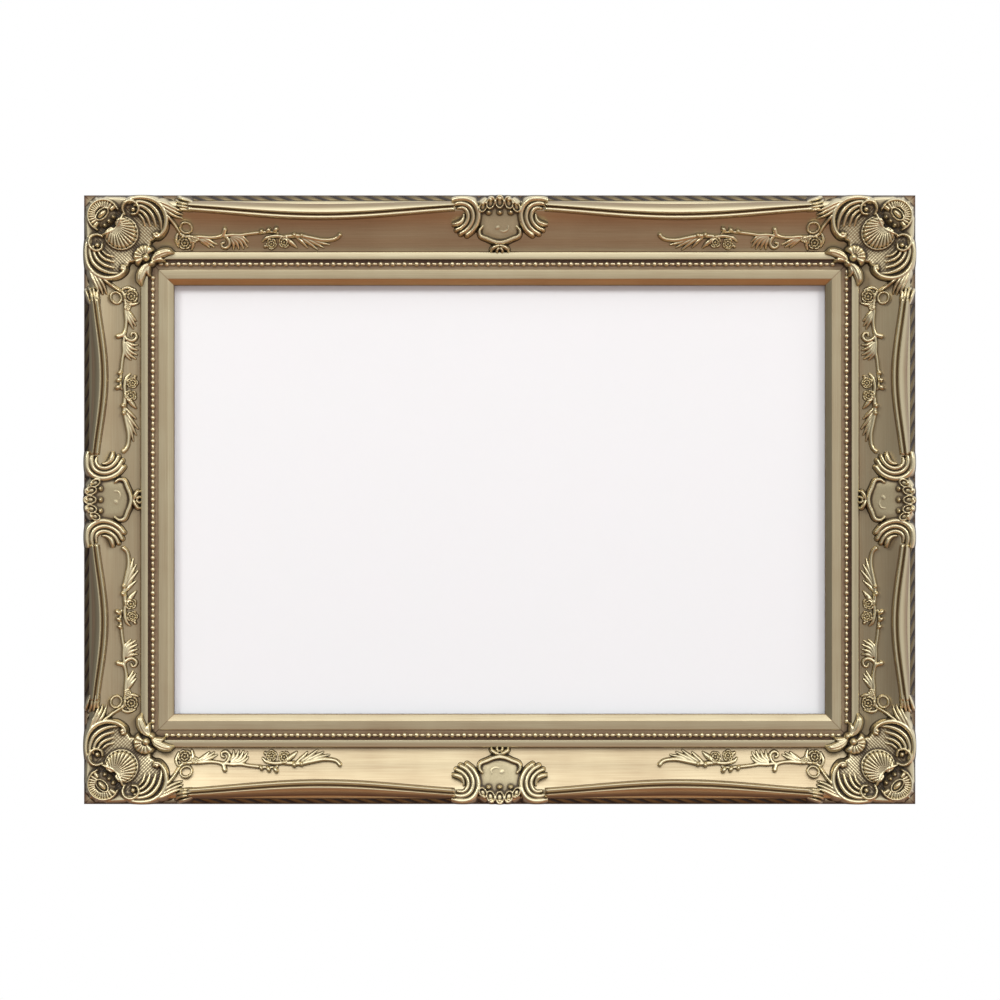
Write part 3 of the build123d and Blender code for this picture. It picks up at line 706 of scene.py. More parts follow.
def add_node(
    tree: bpy.types.NodeTree, kind: str, inputs: dict[Any, Any] | None = None, **settings: Any
) -> bpy.types.Node:
    """Adds one node with its settings, constant inputs and links.

    Args:
        tree: Where it goes.
        kind: Blender's node type without the "ShaderNode" before it.
        inputs: By input name or index, a value, a socket, or a node that stands for its first output in use.
        settings: Attributes to set.

    Returns:
        The node.
    """
    node = tree.nodes.new("ShaderNode" + kind)
    for key, value in settings.items():
        setattr(node, key, value)
    for key, value in (inputs or {}).items():
        if isinstance(value, bpy.types.Node):
            value = next(socket for socket in value.outputs if socket.enabled)
        if isinstance(value, bpy.types.NodeSocket):
            tree.links.new(value, node.inputs[key])
        else:
            node.inputs[key].default_value = value
    return node


def empty_material(name: str) -> tuple[bpy.types.Material, bpy.types.NodeTree]:
    """A new material without nodes.

    Args:
        name: Its name.

    Returns:
        The material and its tree.
    """
    material = bpy.data.materials.new(name)
    material.use_nodes = True
    material.node_tree.nodes.clear()
    return material, material.node_tree


class Lay(Enum):
    """What the fine marks of a finish follow."""

    ALONG = "along the piece's own UV map"
    SPECKLE = "object coordinates"


@dataclass(frozen=True)
class Gilding:
    """Champagne silver-gold leaf over red-brown bole, burnished on crests, with dark patina in recesses."""

    name: str
    lay: Lay
    leaf: str = "#C8BB97"
    bole: str = "#A2683C"
    patina: str = "#32240F"
    coverage: float = 0.7
    relief_pull: float = 2.2
    mark_pull: float = 0.5
    cloud_pull: float = 0.35
    streak_length_mm: float = 70.0
    mark_width_mm: float = 0.9
    cloud_mm: float = 45.0
    metal_from: Pair = (0.1, 0.6)
    metal: float = 0.96
    burnished: float = 0.3
    worn: float = 0.55
    tooth_mm: float = 0.05

    def make(self) -> bpy.types.Material:
        """Builds it: one mask of leaf left on the bole drives colour, metal and roughness together.

        The mask is coverage plus, for relief, marks and clouds, its pull * (its value - 0.5).

        Returns:
            The material.
        """
        material, tree = empty_material(self.name)
        coordinates = add_node(tree, "TexCoord").outputs
        mark = 1 / (self.mark_width_mm * MM)
        if self.lay is Lay.ALONG:
            place, stretch = coordinates["UV"], (1 / (self.streak_length_mm * MM), mark, 1.0)
        else:
            place, stretch = coordinates["Object"], (mark, mark, mark)
        spread = add_node(tree, "Mapping", {"Vector": place, "Scale": stretch})
        marks = add_node(tree, "TexNoise", {"Vector": spread, "Scale": 1.0, "Detail": 3.0, "Roughness": 0.6})
        size = 1 / (self.cloud_mm * MM)
        clouds = add_node(tree, "TexNoise", {"Vector": coordinates["Object"], "Scale": size, "Detail": 2.0})
        relief = add_node(tree, "Attribute", attribute_name="relief").outputs["Fac"]
        height, marked, clouded = (
            add_node(tree, "Math", {0: source, 1: pull, 2: level - 0.5 * pull}, operation="MULTIPLY_ADD")
            for source, pull, level in (
                (relief, self.relief_pull, self.coverage),
                (marks, self.mark_pull, 0),
                (clouds, self.cloud_pull, 0),
            )
        )
        both = add_node(tree, "Math", {0: height, 1: marked}, operation="ADD")
        left = add_node(tree, "Math", {0: both, 1: clouded}, operation="ADD", use_clamp=True)
        ground = {0: relief, 6: linear(self.patina), 7: linear(self.bole)}
        under = add_node(tree, "Mix", ground, data_type="RGBA")
        colour = add_node(tree, "Mix", {0: left, 6: under, 7: linear(self.leaf)}, data_type="RGBA")
        low, high = self.metal_from
        span = {"Value": left, "From Min": low, "From Max": high, "To Max": self.metal}
        metal = add_node(tree, "MapRange", span)
        rough = add_node(tree, "MapRange", {"Value": left, "To Min": self.worn, "To Max": self.burnished})
        tooth = add_node(tree, "Bump", {"Strength": 0.6, "Distance": self.tooth_mm * MM, "Height": marks})
        gilt = {"Base Color": colour, "Metallic": metal, "Roughness": rough, "Normal": tooth}
        add_node(tree, "OutputMaterial", {"Surface": add_node(tree, "BsdfPrincipled", gilt)})
        return material


@dataclass(frozen=True)
class Plain:
    """A sheet or hardware material: two close tones in a grain that roughness and a fine bump follow."""

    name: str
    light: str
    dark: str
    grain_mm: tuple[float, float, float]
    roughness: Pair
    metallic: float = 0.0
    bump_mm: float = 0.02
    transmission: float = 0.0
    ior: float = 1.5

    def make(self) -> bpy.types.Material:
        """Builds it from one noise in object coordinates, stretched to the grain's real size.

        A clear sheet lets shadow and bounced rays straight through, so what lies behind it is lit.

        Returns:
            The material.
        """
        material, tree = empty_material(self.name)
        place = add_node(tree, "TexCoord").outputs["Object"]
        scale = tuple(1 / (size * MM) for size in self.grain_mm)
        spread = add_node(tree, "Mapping", {"Vector": place, "Scale": scale})
        grain = add_node(tree, "TexNoise", {"Vector": spread, "Scale": 1.0, "Detail": 4.0, "Roughness": 0.6})
        tones = {0: grain, 6: linear(self.dark), 7: linear(self.light)}
        smooth, rough = self.roughness
        bump = {"Strength": 0.5, "Distance": self.bump_mm * MM, "Height": grain}
        skin = {
            "Base Color": add_node(tree, "Mix", tones, data_type="RGBA"),
            "Metallic": self.metallic,
            "Roughness": add_node(tree, "MapRange", {"Value": grain, "To Min": smooth, "To Max": rough}),
            "Normal": add_node(tree, "Bump", bump),
            "Transmission Weight": self.transmission,
            "IOR": self.ior,
        }
        surface = add_node(tree, "BsdfPrincipled", skin)
        if self.transmission:
            path = add_node(tree, "LightPath").outputs
            rays = {0: path["Is Shadow Ray"], 1: path["Is Diffuse Ray"]}
            lit = add_node(tree, "Math", rays, operation="MAXIMUM")
            clear = add_node(tree, "BsdfTransparent", {"Color": (1.0, 1.0, 1.0, 1.0)})
            surface = add_node(tree, "MixShader", {0: lit, 1: surface, 2: clear})
        add_node(tree, "OutputMaterial", {"Surface": surface})
        return material


def make_finishes() -> Finishes:
    """Makes every material of the frame once.

    Returns:
        The materials by the part that takes them.
    """
    finishes = {
        # Leaf laid and brushed along the rails: fine streaks run the length of each one.
        "rail": Gilding("brushed_silver_gold_leaf_on_wood", Lay.ALONG),
        # Leaf on cast composition: speckled, with patina left in every recess.
        "casting": Gilding(
            "silver_gold_leaf_on_cast_composition", Lay.SPECKLE, leaf="#DACDA6", bole="#7E6437",
            patina="#2C210C", coverage=0.64, relief_pull=3.0, mark_pull=0.35, burnished=0.34,
        ),
        # The same leaf rubbed bright on the beads, which stand proud of the channel.
        "beads": Gilding(
            "burnished_leaf_on_beads", Lay.SPECKLE, leaf="#DCCFAA", coverage=0.8, mark_pull=0.3,
            burnished=0.36,
        ),
        # Leaf on the rope, darkened all over as painted shade: it lies low on the outer edge, in shade, and
        # reads dark.
        "rope": Gilding(
            "shade_darkened_leaf_on_rope", Lay.SPECKLE, leaf="#7E7053", bole="#4E3722", patina="#1C150B",
            coverage=0.48, mark_pull=0.4, burnished=0.34,
        ),
        # Sawn and sealed moulding stock: short pressed fibres, quite matt.
        "raw_board": Plain(
            "machined_fibre_moulding", "#A8875C", "#8A6B45", (1.2, 1.2, 1.2), (0.6, 0.8), bump_mm=0.05
        ),
        # Float glass: smooth, with a faint green in its thickness.
        "glass": Plain(
            "float_glass", "#FFFFFF", "#FDFFFE", (60.0, 60.0, 60.0), (0.0, 0.01), bump_mm=0.0,
            transmission=1.0, ior=1.52,
        ),
        # Uncoated paper board: soft, with a hardly visible pulp grain.
        "card": Plain("uncoated_white_card", "#FCFCFB", "#F9F9F7", (0.8, 0.8, 0.8), (0.75, 0.9)),
        # Pressed hardboard: dark brown with felted fibres, its smooth face outward.
        "hardboard": Plain(
            "pressed_hardboard", "#8A6240", "#6E4B2F", (2.5, 2.5, 0.9), (0.45, 0.7), bump_mm=0.03
        ),
        # Stamped steel, bright zinc plated: a faint spangle and soft drawn lines.
        "zinc": Plain(
            "bright_zinc_plated_steel", "#C9CBCB", "#A9ACAE", (4.0, 4.0, 0.6), (0.28, 0.42), metallic=1.0
        ),
        # Moulded rubber: matt and slightly dusty.
        "rubber": Plain("moulded_black_rubber", "#262626", "#1B1B1B", (0.7, 0.7, 0.7), (0.6, 0.85)),
    }
    return {part: finish.make() for part, finish in finishes.items()}


# Rails and trim


@dataclass
class Rails:
    """The four mitred lengths of moulding.

    Wear is set by place across the moulding: spans are (from, to) in millimetres from the outer edge.
    """

    moulding: Moulding
    finishes: Finishes
    stations: int = 9
    crease: float = 24.0
    caught: float = 0.9965
    mitre_tone: float = 0.22
    hollow: Pair = (20.0, 51.3)
    hollow_least: float = 0.47
    flats: Pair = (69.0, 82.0)
    flats_wear: float = 0.53
    bevel: Pair = (77.2, 82.0)
    bevel_gain: float = 0.08
    # Darkened spans: the channel with patina, the foot of the lip a little, and the outer ledge as painted
    # shade for the frame's outer edge.
    darkened_spans: Rows = ((59.0, 68.2, 0.22), (-1.0, 6.0, 0.36), (57.4, 59.0, 0.12))
    rebate_wear: float = 0.3

    def build(self) -> None:
        """Carries the closed section along each side, each point running out to the mitre at its own w."""
        face = self.moulding.face()
        ring = np.concatenate([face, np.array(self.moulding.rebate)])
        w, f = ring.T
        run = np.concatenate([[0], np.cumsum(np.hypot(*np.diff(ring, axis=0).T))])
        # A last short step at each end holds the patina that gathers in the mitre.
        middle = np.linspace(-self.caught, self.caught, self.stations - 2)
        share = np.concatenate([[-1], middle, [1]])[:, None]
        relief = self.relief_of(w, len(face)) - self.mitre_tone * (np.abs(share) == 1)
        faces, caps = tube(self.stations, len(ring))
        column = np.tile(np.arange(len(ring)), self.stations - 1)
        slots = (column >= len(face)) & (column < len(ring) - 1)
        for side in Side:
            x = share * (side.length / 2 - w)
            piece = make_piece(
                "gilded_rail_" + side.label, rows_of(x, w, f), faces, caps, side.placement(),
                [self.finishes["rail"], self.finishes["raw_board"]], relief, rows_of(x, run) * MM, slots,
                self.crease,
            )
            dress(piece, "root", "gilded_wood", "rail_" + side.label)

    def relief_of(self, places: Array, gilded: int) -> Array:
        """Wear across the section: 0.5 plus a quarter of the height over a copy blurred by 2 mm.

        The hollow keeps a least wear, the two flats inside the beads have a wear of their own, the channel is
        darkened with patina and the foot of the lip is darker, and the outer ledge is darkened as painted
        shade.

        Args:
            places: Distance of each section point from the outer edge.
            gilded: Number of points on the face; the rest are in the rebate and at the back.

        Returns:
            Wear at each point.
        """
        pitch, reach, sigma = 0.25, 20, 8
        w = np.arange(0, MOULDING + pitch, pitch)
        front = self.moulding.front(w)
        taps = np.exp(-0.5 * (np.arange(-reach, reach + 1) / sigma) ** 2)
        blurred = np.convolve(np.pad(front, reach, mode="edge"), taps / taps.sum(), mode="valid")
        worn = np.clip(0.5 + 0.25 * (front - blurred), 0.2, 0.8)
        worn = np.where(between(w, *self.hollow), np.maximum(worn, self.hollow_least), worn)
        worn = np.where(between(w, *self.flats), self.flats_wear, worn)
        worn = worn + self.bevel_gain * between(w, *self.bevel)
        # The outer ledge span is painted shade; the channel span is patina.
        for start, end, tone in self.darkened_spans:
            worn = worn - tone * between(w, start, end)
        values = np.interp(places, w, worn)
        values[gilded:] = self.rebate_wear
        return values


@dataclass
class Beading:
    """Rows of round beads with turned bars between, in the channel of each rail."""

    finishes: Finishes
    centre: float = 63.3
    floor: float = 20.5
    foot: float = 0.4
    bead: float = 2.4
    bar: float = 1.6
    bar_half: float = 2.3
    neck: float = 0.45
    neck_run: float = 0.3
    tall: float = 1.25
    pitch: float = 10.8
    start: float = 70.6
    ring: int = 11

    def build(self) -> None:
        """Turns a half-round strip: sqrt(bead^2 - d^2) at a bead, bar * sqrt(1 - (d / half)^4) at a bar."""
        angle = np.linspace(0, math.pi, self.ring)
        # Samples gather where the bead is round and where the bar ends, so few faces still make both smooth.
        round_part = -self.bead * np.cos(np.linspace(0, math.pi, 12))
        ends = np.array([-1.0, -0.9, -0.6, 0.6, 0.9, 1.0]) * self.bar_half
        for side in Side:
            run = side.length - 2 * self.start
            count = round(run / self.pitch)
            pitch = run / count
            d = np.concatenate([round_part, [self.bead + self.neck_run], pitch / 2 + ends])
            radius = np.where(
                np.abs(d) < self.bead,
                np.sqrt(np.clip(self.bead**2 - d**2, self.neck**2, None)),
                np.maximum(self.bar * dome((np.abs(d - pitch / 2) / self.bar_half) ** 2), self.neck),
            )
            x = (self.start - side.length / 2 + pitch * (np.arange(count)[:, None] + 0.5) + d).ravel()
            r = np.tile(radius, count)[:, None]
            y = self.centre - r * np.cos(angle)
            z = self.floor + self.foot + r * np.sin(angle) * self.tall
            z[:, [0, -1]] = self.floor - self.foot
            relief = np.clip(0.42 + 0.4 * np.sin(angle) * (r / self.bead) ** 1.5, 0, 1)
            piece = make_piece(
                "bead_and_bar_" + side.label, rows_of(x[:, None], y, z), *tube(len(x), self.ring),
                side.placement(), [self.finishes["beads"]], relief,
            )
            dress(piece, "root", "gilded_composition", "bead_row_" + side.label)


@dataclass
class Roping:
    """Twisted rope on the outer ledge, in two runs a side."""

    finishes: Finishes
    edge: float = 0.25
    width: float = 5.4
    height: float = 5.6
    crown: float = 1.4
    ledge: float = 18.0
    foot: float = 0.5
    pitch: float = 15.6
    lean: float = 0.85
    groove: float = 1.8
    start: float = 98.1
    end: float = 42.2
    ring: int = 13
    per_pitch: int = 20

    def build(self) -> None:
        """Sloping round strip in the angle of the ledge, so most of it faces outward.

        It sinks by groove * (1 - bulge) between strands, bulge = sqrt(1 - (2 phase - 1)^2), and the phase
        runs with the length and up the strip. The second run is a mirror image, so it is read backwards.
        """
        out = np.linspace(0, 1, self.ring)
        arch = np.sin(math.pi * out)
        for side in Side:
            begin, finish = self.start - side.length / 2, -self.end
            count = round((finish - begin) / self.pitch)
            x = np.linspace(begin, finish, count * self.per_pitch + 1)[:, None]
            runs, faces, caps = [], [], []
            for half, sign in enumerate((1, -1)):
                phase = (x - begin) / (finish - begin) * count + self.lean * out * sign
                aside = np.abs(2 * (phase % 1) - 1)
                sunk = self.groove * (1 - dome(aside)) * arch
                y = self.edge + self.width * out + sunk
                z = self.ledge + self.height * out + self.crown * arch - sunk
                z[:, [0, -1]] = self.ledge - self.foot
                relief = 0.1 + 0.6 * smoothstep(0.1, 0.75, 1 - aside) * smoothstep(-0.3, 0.3, out)
                runs.append(rows_of(*(grid[::sign] for grid in (sign * x, y, z, relief))))
                quads, ends = tube(len(x), self.ring, half * len(runs[0]))
                faces.append(quads)
                caps += ends
            rope = np.concatenate(runs)
            piece = make_piece(
                "twisted_rope_" + side.label, rope[:, :3], np.concatenate(faces), caps, side.placement(),
                [self.finishes["rope"]], rope[:, 3],
            )
            dress(piece, "root", "gilded_composition", "rope_edge_" + side.label)


@dataclass
class SweptRidges:
    """A broad roll and a thin ridge that swing inward between a corner and a centre ornament.

    Outer and inner edges are given at the ends and in the middle, in millimetres from the frame's outer edge.
    """

    moulding: Moulding
    finishes: Finishes
    outer: Pair = (6.0, 8.3)
    inner: Pair = (16.2, 23.8)
    thin: float = 5.2
    foot: float = 2.0
    foot_in: float = 0.5
    foot_wear: float = 0.1
    girth: float = 30.0
    # Painted shade: wear taken off the rolls of the bottom side, which face down away from the light.
    bottom_roll_shade: float = 0.1
    start: float = 96.0
    end: float = 41.0
    roll: tuple[Pair, ...] = (
        (0.0, 29.0), (0.03, 31.6), (0.1, 34.0), (0.25, 36.9), (0.45, 39.4), (0.65, 41.1), (0.83, 41.9),
        (0.92, 41.5), (0.975, 39.9), (1.0, 38.0),
    )
    ridge: tuple[Pair, ...] = (
        (0.0, 38.0), (0.12, 38.7), (0.3, 39.5), (0.5, 40.0), (0.7, 39.9), (0.88, 38.1), (0.97, 35.2),
        (1.0, 33.0),
    )
    stations: int = 72

    def wear(self, roll: Array, ridge: Array) -> Array:
        """Wear across the double section.

        The roll starts at 0.3, gains 0.18 as it climbs and 0.2 over its inner half, and loses 0.4 where it
        dives to the groove. The ridge starts at 0.28, gains 0.42 as it climbs and loses 0.4 by the groove.

        Args:
            roll: Section of the roll, share of its width and height.
            ridge: Section of the ridge.

        Returns:
            Wear at each point of the ring, its two feet last.
        """
        share, height = roll.T
        on_roll = 0.3 + 0.18 * smoothstep(33.0, 41.0, height) + 0.2 * smoothstep(0.3, 0.75, share)
        on_roll -= 0.4 * smoothstep(0.93, 1.0, share)
        share, height = ridge.T
        on_ridge = 0.28 + 0.42 * smoothstep(35.5, 39.0, height) - 0.4 * (1 - smoothstep(0.0, 0.2, share))
        return np.concatenate([on_roll, on_ridge, [self.foot_wear, self.foot_wear]])

    def build(self) -> None:
        """Carries the double section along x; both edges swing by 0.65 sin(pi t) + 0.35 sin^2(pi t)."""
        roll = smooth_line(self.roll, 4)
        ridge = smooth_line(self.ridge, 4)[1:]
        t = np.linspace(0, 1, self.stations)[:, None]
        swing = 0.65 * np.sin(math.pi * t) + 0.35 * np.sin(math.pi * t) ** 2
        outer, inner = (ends + (middle - ends) * swing for ends, middle in (self.outer, self.inner))
        split = inner - self.thin
        top = np.concatenate([outer + (split - outer) * roll[:, 0], split + self.thin * ridge[:, 0]], axis=1)
        feet = np.concatenate([top[:, -1:], top[:, :1] + self.foot_in], axis=1)
        heights = np.broadcast_to(np.concatenate([roll[:, 1], ridge[:, 1]]), top.shape)
        w = np.concatenate([top, feet], axis=1)
        f = np.concatenate([heights, self.moulding.front(feet) - self.foot], axis=1)
        around = np.linspace(0, 1, w.shape[1]) * self.girth
        for side in Side:
            wear = self.wear(roll, ridge)
            # Painted shade: the rolls along the bottom face down, away from the light, so their wear is
            # lowered and more dark bole and patina shows there.
            if side is Side.BOTTOM:
                wear[: len(roll)] -= self.bottom_roll_shade
            x = self.start - side.length / 2 + (side.length / 2 - self.start - self.end) * t
            for label, placement in side.halves():
                piece = make_piece(
                    "gilded_sweep_" + label, rows_of(x, w, f), *tube(self.stations, w.shape[1]), placement,
                    [self.finishes["rail"]], np.broadcast_to(wear, w.shape), rows_of(x, around) * MM,
                )
                dress(piece, "root", "gilded_composition", "swept_ridge_" + label)


# Cast ornament


@dataclass
class Casting:
    """Cast composition laid on the moulding: one sheet is carved and serves every place of its kind."""

    moulding: Moulding
    finishes: Finishes
    cell: float = 0.45
    blur: float = 0.75
    rise: float = 3.9

    def bare(self, u: Array, v: Array) -> Array:
        """Front of the straight moulding."""
        return self.moulding.front(v * STEP)

    def carrier(self, u: Array, v: Array) -> Array:
        """Front of the surface that motifs stand on."""
        return self.bare(u, v)

    def blank(self, low: Pair, high: Pair) -> Relief:
        """An uncarved sheet between two corners, in steps."""
        return Relief(low, high, self.cell, self.bare, self.carrier, self.blur)

    def cast(self, sheet: Relief, made: str, node: str, placement: Placement, shift: float = 0.0) -> None:
        """Makes one piece of the sheet in place of a node."""
        piece = sheet.piece(made, placement, self.finishes["casting"], shift)
        dress(piece, "root", "gilded_composition", node)


@dataclass
class CornerOrnament(Casting):
    """Ribbed hood, oval nut, scallop shell, two C-scrolls and an inner flower at each corner."""

    reach: float = 110.0
    crown: float = 36.3
    fall: float = 0.155
    valley: float = 3.0
    ease: Pair = (84, 92)
    ease_drop: float = 3.0
    over_moulding: float = 0.4

    def carrier(self, u: Array, v: Array) -> Array:
        """Ground that falls 11 mm from the crown to the sight, with the valley on the mitre rounded over.

        Over the ease it drops a little and goes over to the moulding where it would sink below it.

        Args:
            u: Steps along one side.
            v: Steps along the other.

        Returns:
            Forward distance in millimetres.
        """
        a, b = u * STEP, v * STEP
        low = (a + b) / 2 - np.sqrt(np.abs(a - b) ** 2 / 4 + self.valley**2)
        over = self.crown - self.fall * low
        near = smoothstep(*self.ease, np.maximum(u, v))
        low_end = np.maximum(self.bare(u, v) + self.over_moulding, over - self.ease_drop * near)
        return over * (1 - near) + low_end * near

    def bare(self, u: Array, v: Array) -> Array:
        """Front of the mitred moulding."""
        return self.moulding.front(np.minimum(u, v) * STEP)

    def stroke_both(self, sheet: Relief, lines: Sequence[Rows], share: float, **how: Any) -> None:
        """Strokes each line and its mirror image about the mitre.

        Args:
            sheet: The sheet carved.
            lines: Drawn lines of u, v, width and share of the rise.
            share: Further share of the rise, for all of them.
            how: What else stroke() takes.
        """
        for line in lines:
            for drawn in (line, [(v, u, *rest) for u, v, *rest in line]):
                sheet.stroke(drawn, self.rise * share, **how)

    def carve(self) -> Relief:
        """Raises every motif; places are in steps from the outer corner.

        Returns:
            The carved sheet.
        """
        sheet = self.blank((1.0, 1.0), (self.reach, self.reach))
        half = [
            (14, 6), (24, 4), (46, 5), (60, 4), (72, 6), (82, 14), (86, 28), (82, 39), (74, 43), (67, 47),
            (66, 58), (72, 62),
        ]
        sheet.plate(half + [(v, u) for u, v in reversed(half)], 0.6)
        hatched = smoothstep(1.0, 3.0, sheet.top - sheet.base + 2.4) * (np.minimum(sheet.u, sheet.v) > 14)
        sheet.hatch(0.65, 2.3, -MITRE, hatched)
        sheet.hatch(0.25, 3.1, MITRE, hatched)
        strands = [
            [(44, 6.5, 2.5, 0.5), (50, 4.8, 4.0, 0.9), (60, 3.9, 4.8, 1.0), (71, 6.2, 5.0, 1.0),
             (79.5, 13, 5.2, 1.0), (83.6, 23, 5.2, 1.0), (82.4, 34, 4.8, 1.0), (77.5, 41, 4.2, 1.0),
             (72.8, 42.6, 3.6, 1.0), (71.2, 39.6, 3.0, 0.9)],
            [(46, 9.4, 2.5, 0.6), (53, 8.0, 3.8, 0.9), (61, 8.4, 4.4, 0.95), (69, 11.8, 4.6, 0.95),
             (75.2, 19, 4.6, 0.9), (78.4, 28, 3.4, 0.7), (78.6, 36, 1.6, 0.3)],
            [(52, 11.4, 2.6, 0.8), (59, 12.2, 4.0, 0.9), (65.4, 15.6, 4.2, 0.9), (70.4, 22, 4.0, 0.85),
             (73.2, 31, 2.4, 0.45)],
            [(55, 15.6, 2.6, 0.8), (60.6, 18, 3.6, 0.85), (65, 23.4, 3.6, 0.8), (67.4, 31, 2.0, 0.4)],
            [(57, 20.6, 2.4, 0.75), (60.6, 25, 3.0, 0.75), (62.2, 31, 1.6, 0.35)],
        ]
        self.stroke_both(sheet, strands, 1.0)
        volute = [
            (42.6, 20.5, 2.2, 0.7), (40.4, 15, 3.2, 0.95), (42.4, 9.6, 3.6, 1.1), (48, 7.0, 3.8, 1.15),
            (54, 9.4, 3.6, 1.15), (56.6, 14.6, 3.2, 1.15), (54.4, 19.4, 2.8, 1.1), (49.8, 20.2, 2.4, 1.0),
        ]
        self.stroke_both(sheet, [volute], 1.15)
        for u, v, radius, share in ((51.0, 15.4, 2.7, 1.3), (74.2, 39.6, 2.4, 1.15)):
            sheet.ball(u, v, radius, self.rise * share)
            sheet.ball(v, u, radius, self.rise * share)
        self.carve_shell(sheet)
        self.carve_hood(sheet)
        self.carve_flower(sheet)
        self.carve_fronds(sheet)
        return sheet

    def carve_shell(self, sheet: Relief) -> None:
        """Scallop of seventeen ribs with a raised rim, opening toward the sight corner."""
        sheet.fan((31.5, 31.5), 10.2, 15.8, 2.0, MITRE, math.radians(214), 17, 6.4, 2.9)
        turns = MITRE + np.radians(np.linspace(-124, 124, 15))
        sheet.stroke([(38.7 + 16.4 * math.cos(a), 38.7 + 16.4 * math.sin(a), 1.5, 1.0) for a in turns], 2.9)
        crescent = [
            (40.5, 20.6, 2.6, 0.75), (38.6, 25.4, 4.4, 1.05), (36.4, 30.2, 3.4, 0.95),
            (33.6, 33.6, 2.8, 0.85), (30.2, 36.4, 3.4, 0.95), (25.4, 38.6, 4.4, 1.05),
            (20.6, 40.5, 2.6, 0.75),
        ]
        sheet.stroke(crescent, 6.6)

    def carve_hood(self, sheet: Relief) -> None:
        """Ribbed hood round a long nut with a rim, and three small beads towards the shell."""
        outward = MITRE + math.pi
        sheet.ball(21.4, 21.4, 12.4, 3.2)
        sheet.fan((21.6, 21.6), 0.0, 14.6, 8.4, outward, math.radians(214), 17, 5.2, 2.8, 0.8)
        turns = outward + np.radians(np.linspace(-112, 112, 13))
        widths = 3.2 * (0.55 + 0.45 * np.cos((turns - outward) / 1.5))
        arc = [(21.6 + 15.4 * math.cos(a), 21.6 + 15.4 * math.sin(a), w, 1.0) for a, w in zip(turns, widths)]
        sheet.stroke(arc, 6.0)
        sheet.ring(20.2, 20.2, 4.3, 1.3, 5.6, 1.75, -MITRE)
        sheet.ball(20.2, 20.2, 3.0, 7.2, 2.1, -MITRE)
        for k in (-1, 0, 1):
            sheet.ball(27.2 + 4.2 * k, 27.2 - 4.2 * k, 2.3, 8.2)

    def carve_flower(self, sheet: Relief) -> None:
        """Ball flower with ribs behind it at the inner corner, and a lobed, reeded leaf to each side."""
        sheet.fan((62.4, 62.4), 1.0, 11.0, 3.0, math.pi + MITRE, math.radians(196), 7, self.rise * 1.3, 2.6)
        leaves = [
            [(69, 66, 3.6, 0.9), (73, 61.6, 7.2, 1.05), (79, 58.6, 8.6, 1.15), (85, 57.2, 6.4, 1.0),
             (90, 58.2, 2.4, 0.5)],
            [(72, 66, 3.0, 0.8), (76.4, 64.6, 4.4, 0.9), (80, 65.4, 2.2, 0.5)],
        ]
        self.stroke_both(sheet, leaves, 1.0, cut=Cut.REEDED, groove=0.5)
        sheet.ball(63.2, 63.2, 4.2, self.rise * 2.0)
        sheet.ball(68.6, 68.6, 2.6, self.rise * 1.45, 1.5, -MITRE)

    def carve_fronds(self, sheet: Relief) -> None:
        """Four tapering fronds off the outer strand, then a clasp of four where the roll begins."""
        fronds = [
            [(76, 7.6, 3.2, 0.8), (84, 10.6, 4.0, 1.0), (92, 14.4, 4.0, 1.0), (99, 17.0, 2.0, 0.5)],
            [(80, 11.4, 3.2, 0.8), (87, 15.4, 4.0, 1.0), (94, 18.8, 3.6, 0.9), (100, 20.6, 1.6, 0.5)],
            [(83, 16, 3.2, 0.8), (89, 20.4, 3.8, 1.0), (95, 23.0, 3.0, 0.8), (99.6, 24.0, 1.4, 0.4)],
            [(85, 21.6, 3.0, 0.8), (89.6, 27, 3.6, 1.0), (93.6, 33, 3.2, 0.9), (96.6, 38, 2.4, 0.7)],
        ]
        clasp = [
            [(97, 4.2, 3.0, 0.9), (102, 6.0, 3.8, 1.35), (110, 8.4, 2.6, 1.2)],
            [(94.6, 7.6, 3.2, 0.9), (101, 9.6, 4.0, 1.45), (111, 11.2, 2.8, 1.4)],
            [(95, 11.6, 3.2, 0.9), (101.6, 13.0, 3.8, 1.4), (110, 14.2, 2.6, 1.3)],
            [(98, 15.2, 3.0, 0.9), (104, 16.2, 3.4, 1.2), (110, 17.0, 2.2, 1.0)],
        ]
        self.stroke_both(sheet, fronds, 1.05)
        self.stroke_both(sheet, clasp, 1.15)

    def build(self) -> None:
        """Makes the four castings from one carving."""
        sheet = self.carve()
        for corner in Corner:
            label, placement = corner.value
            self.cast(sheet, "carved_corner_" + label, "corner_ornament_" + label, placement)


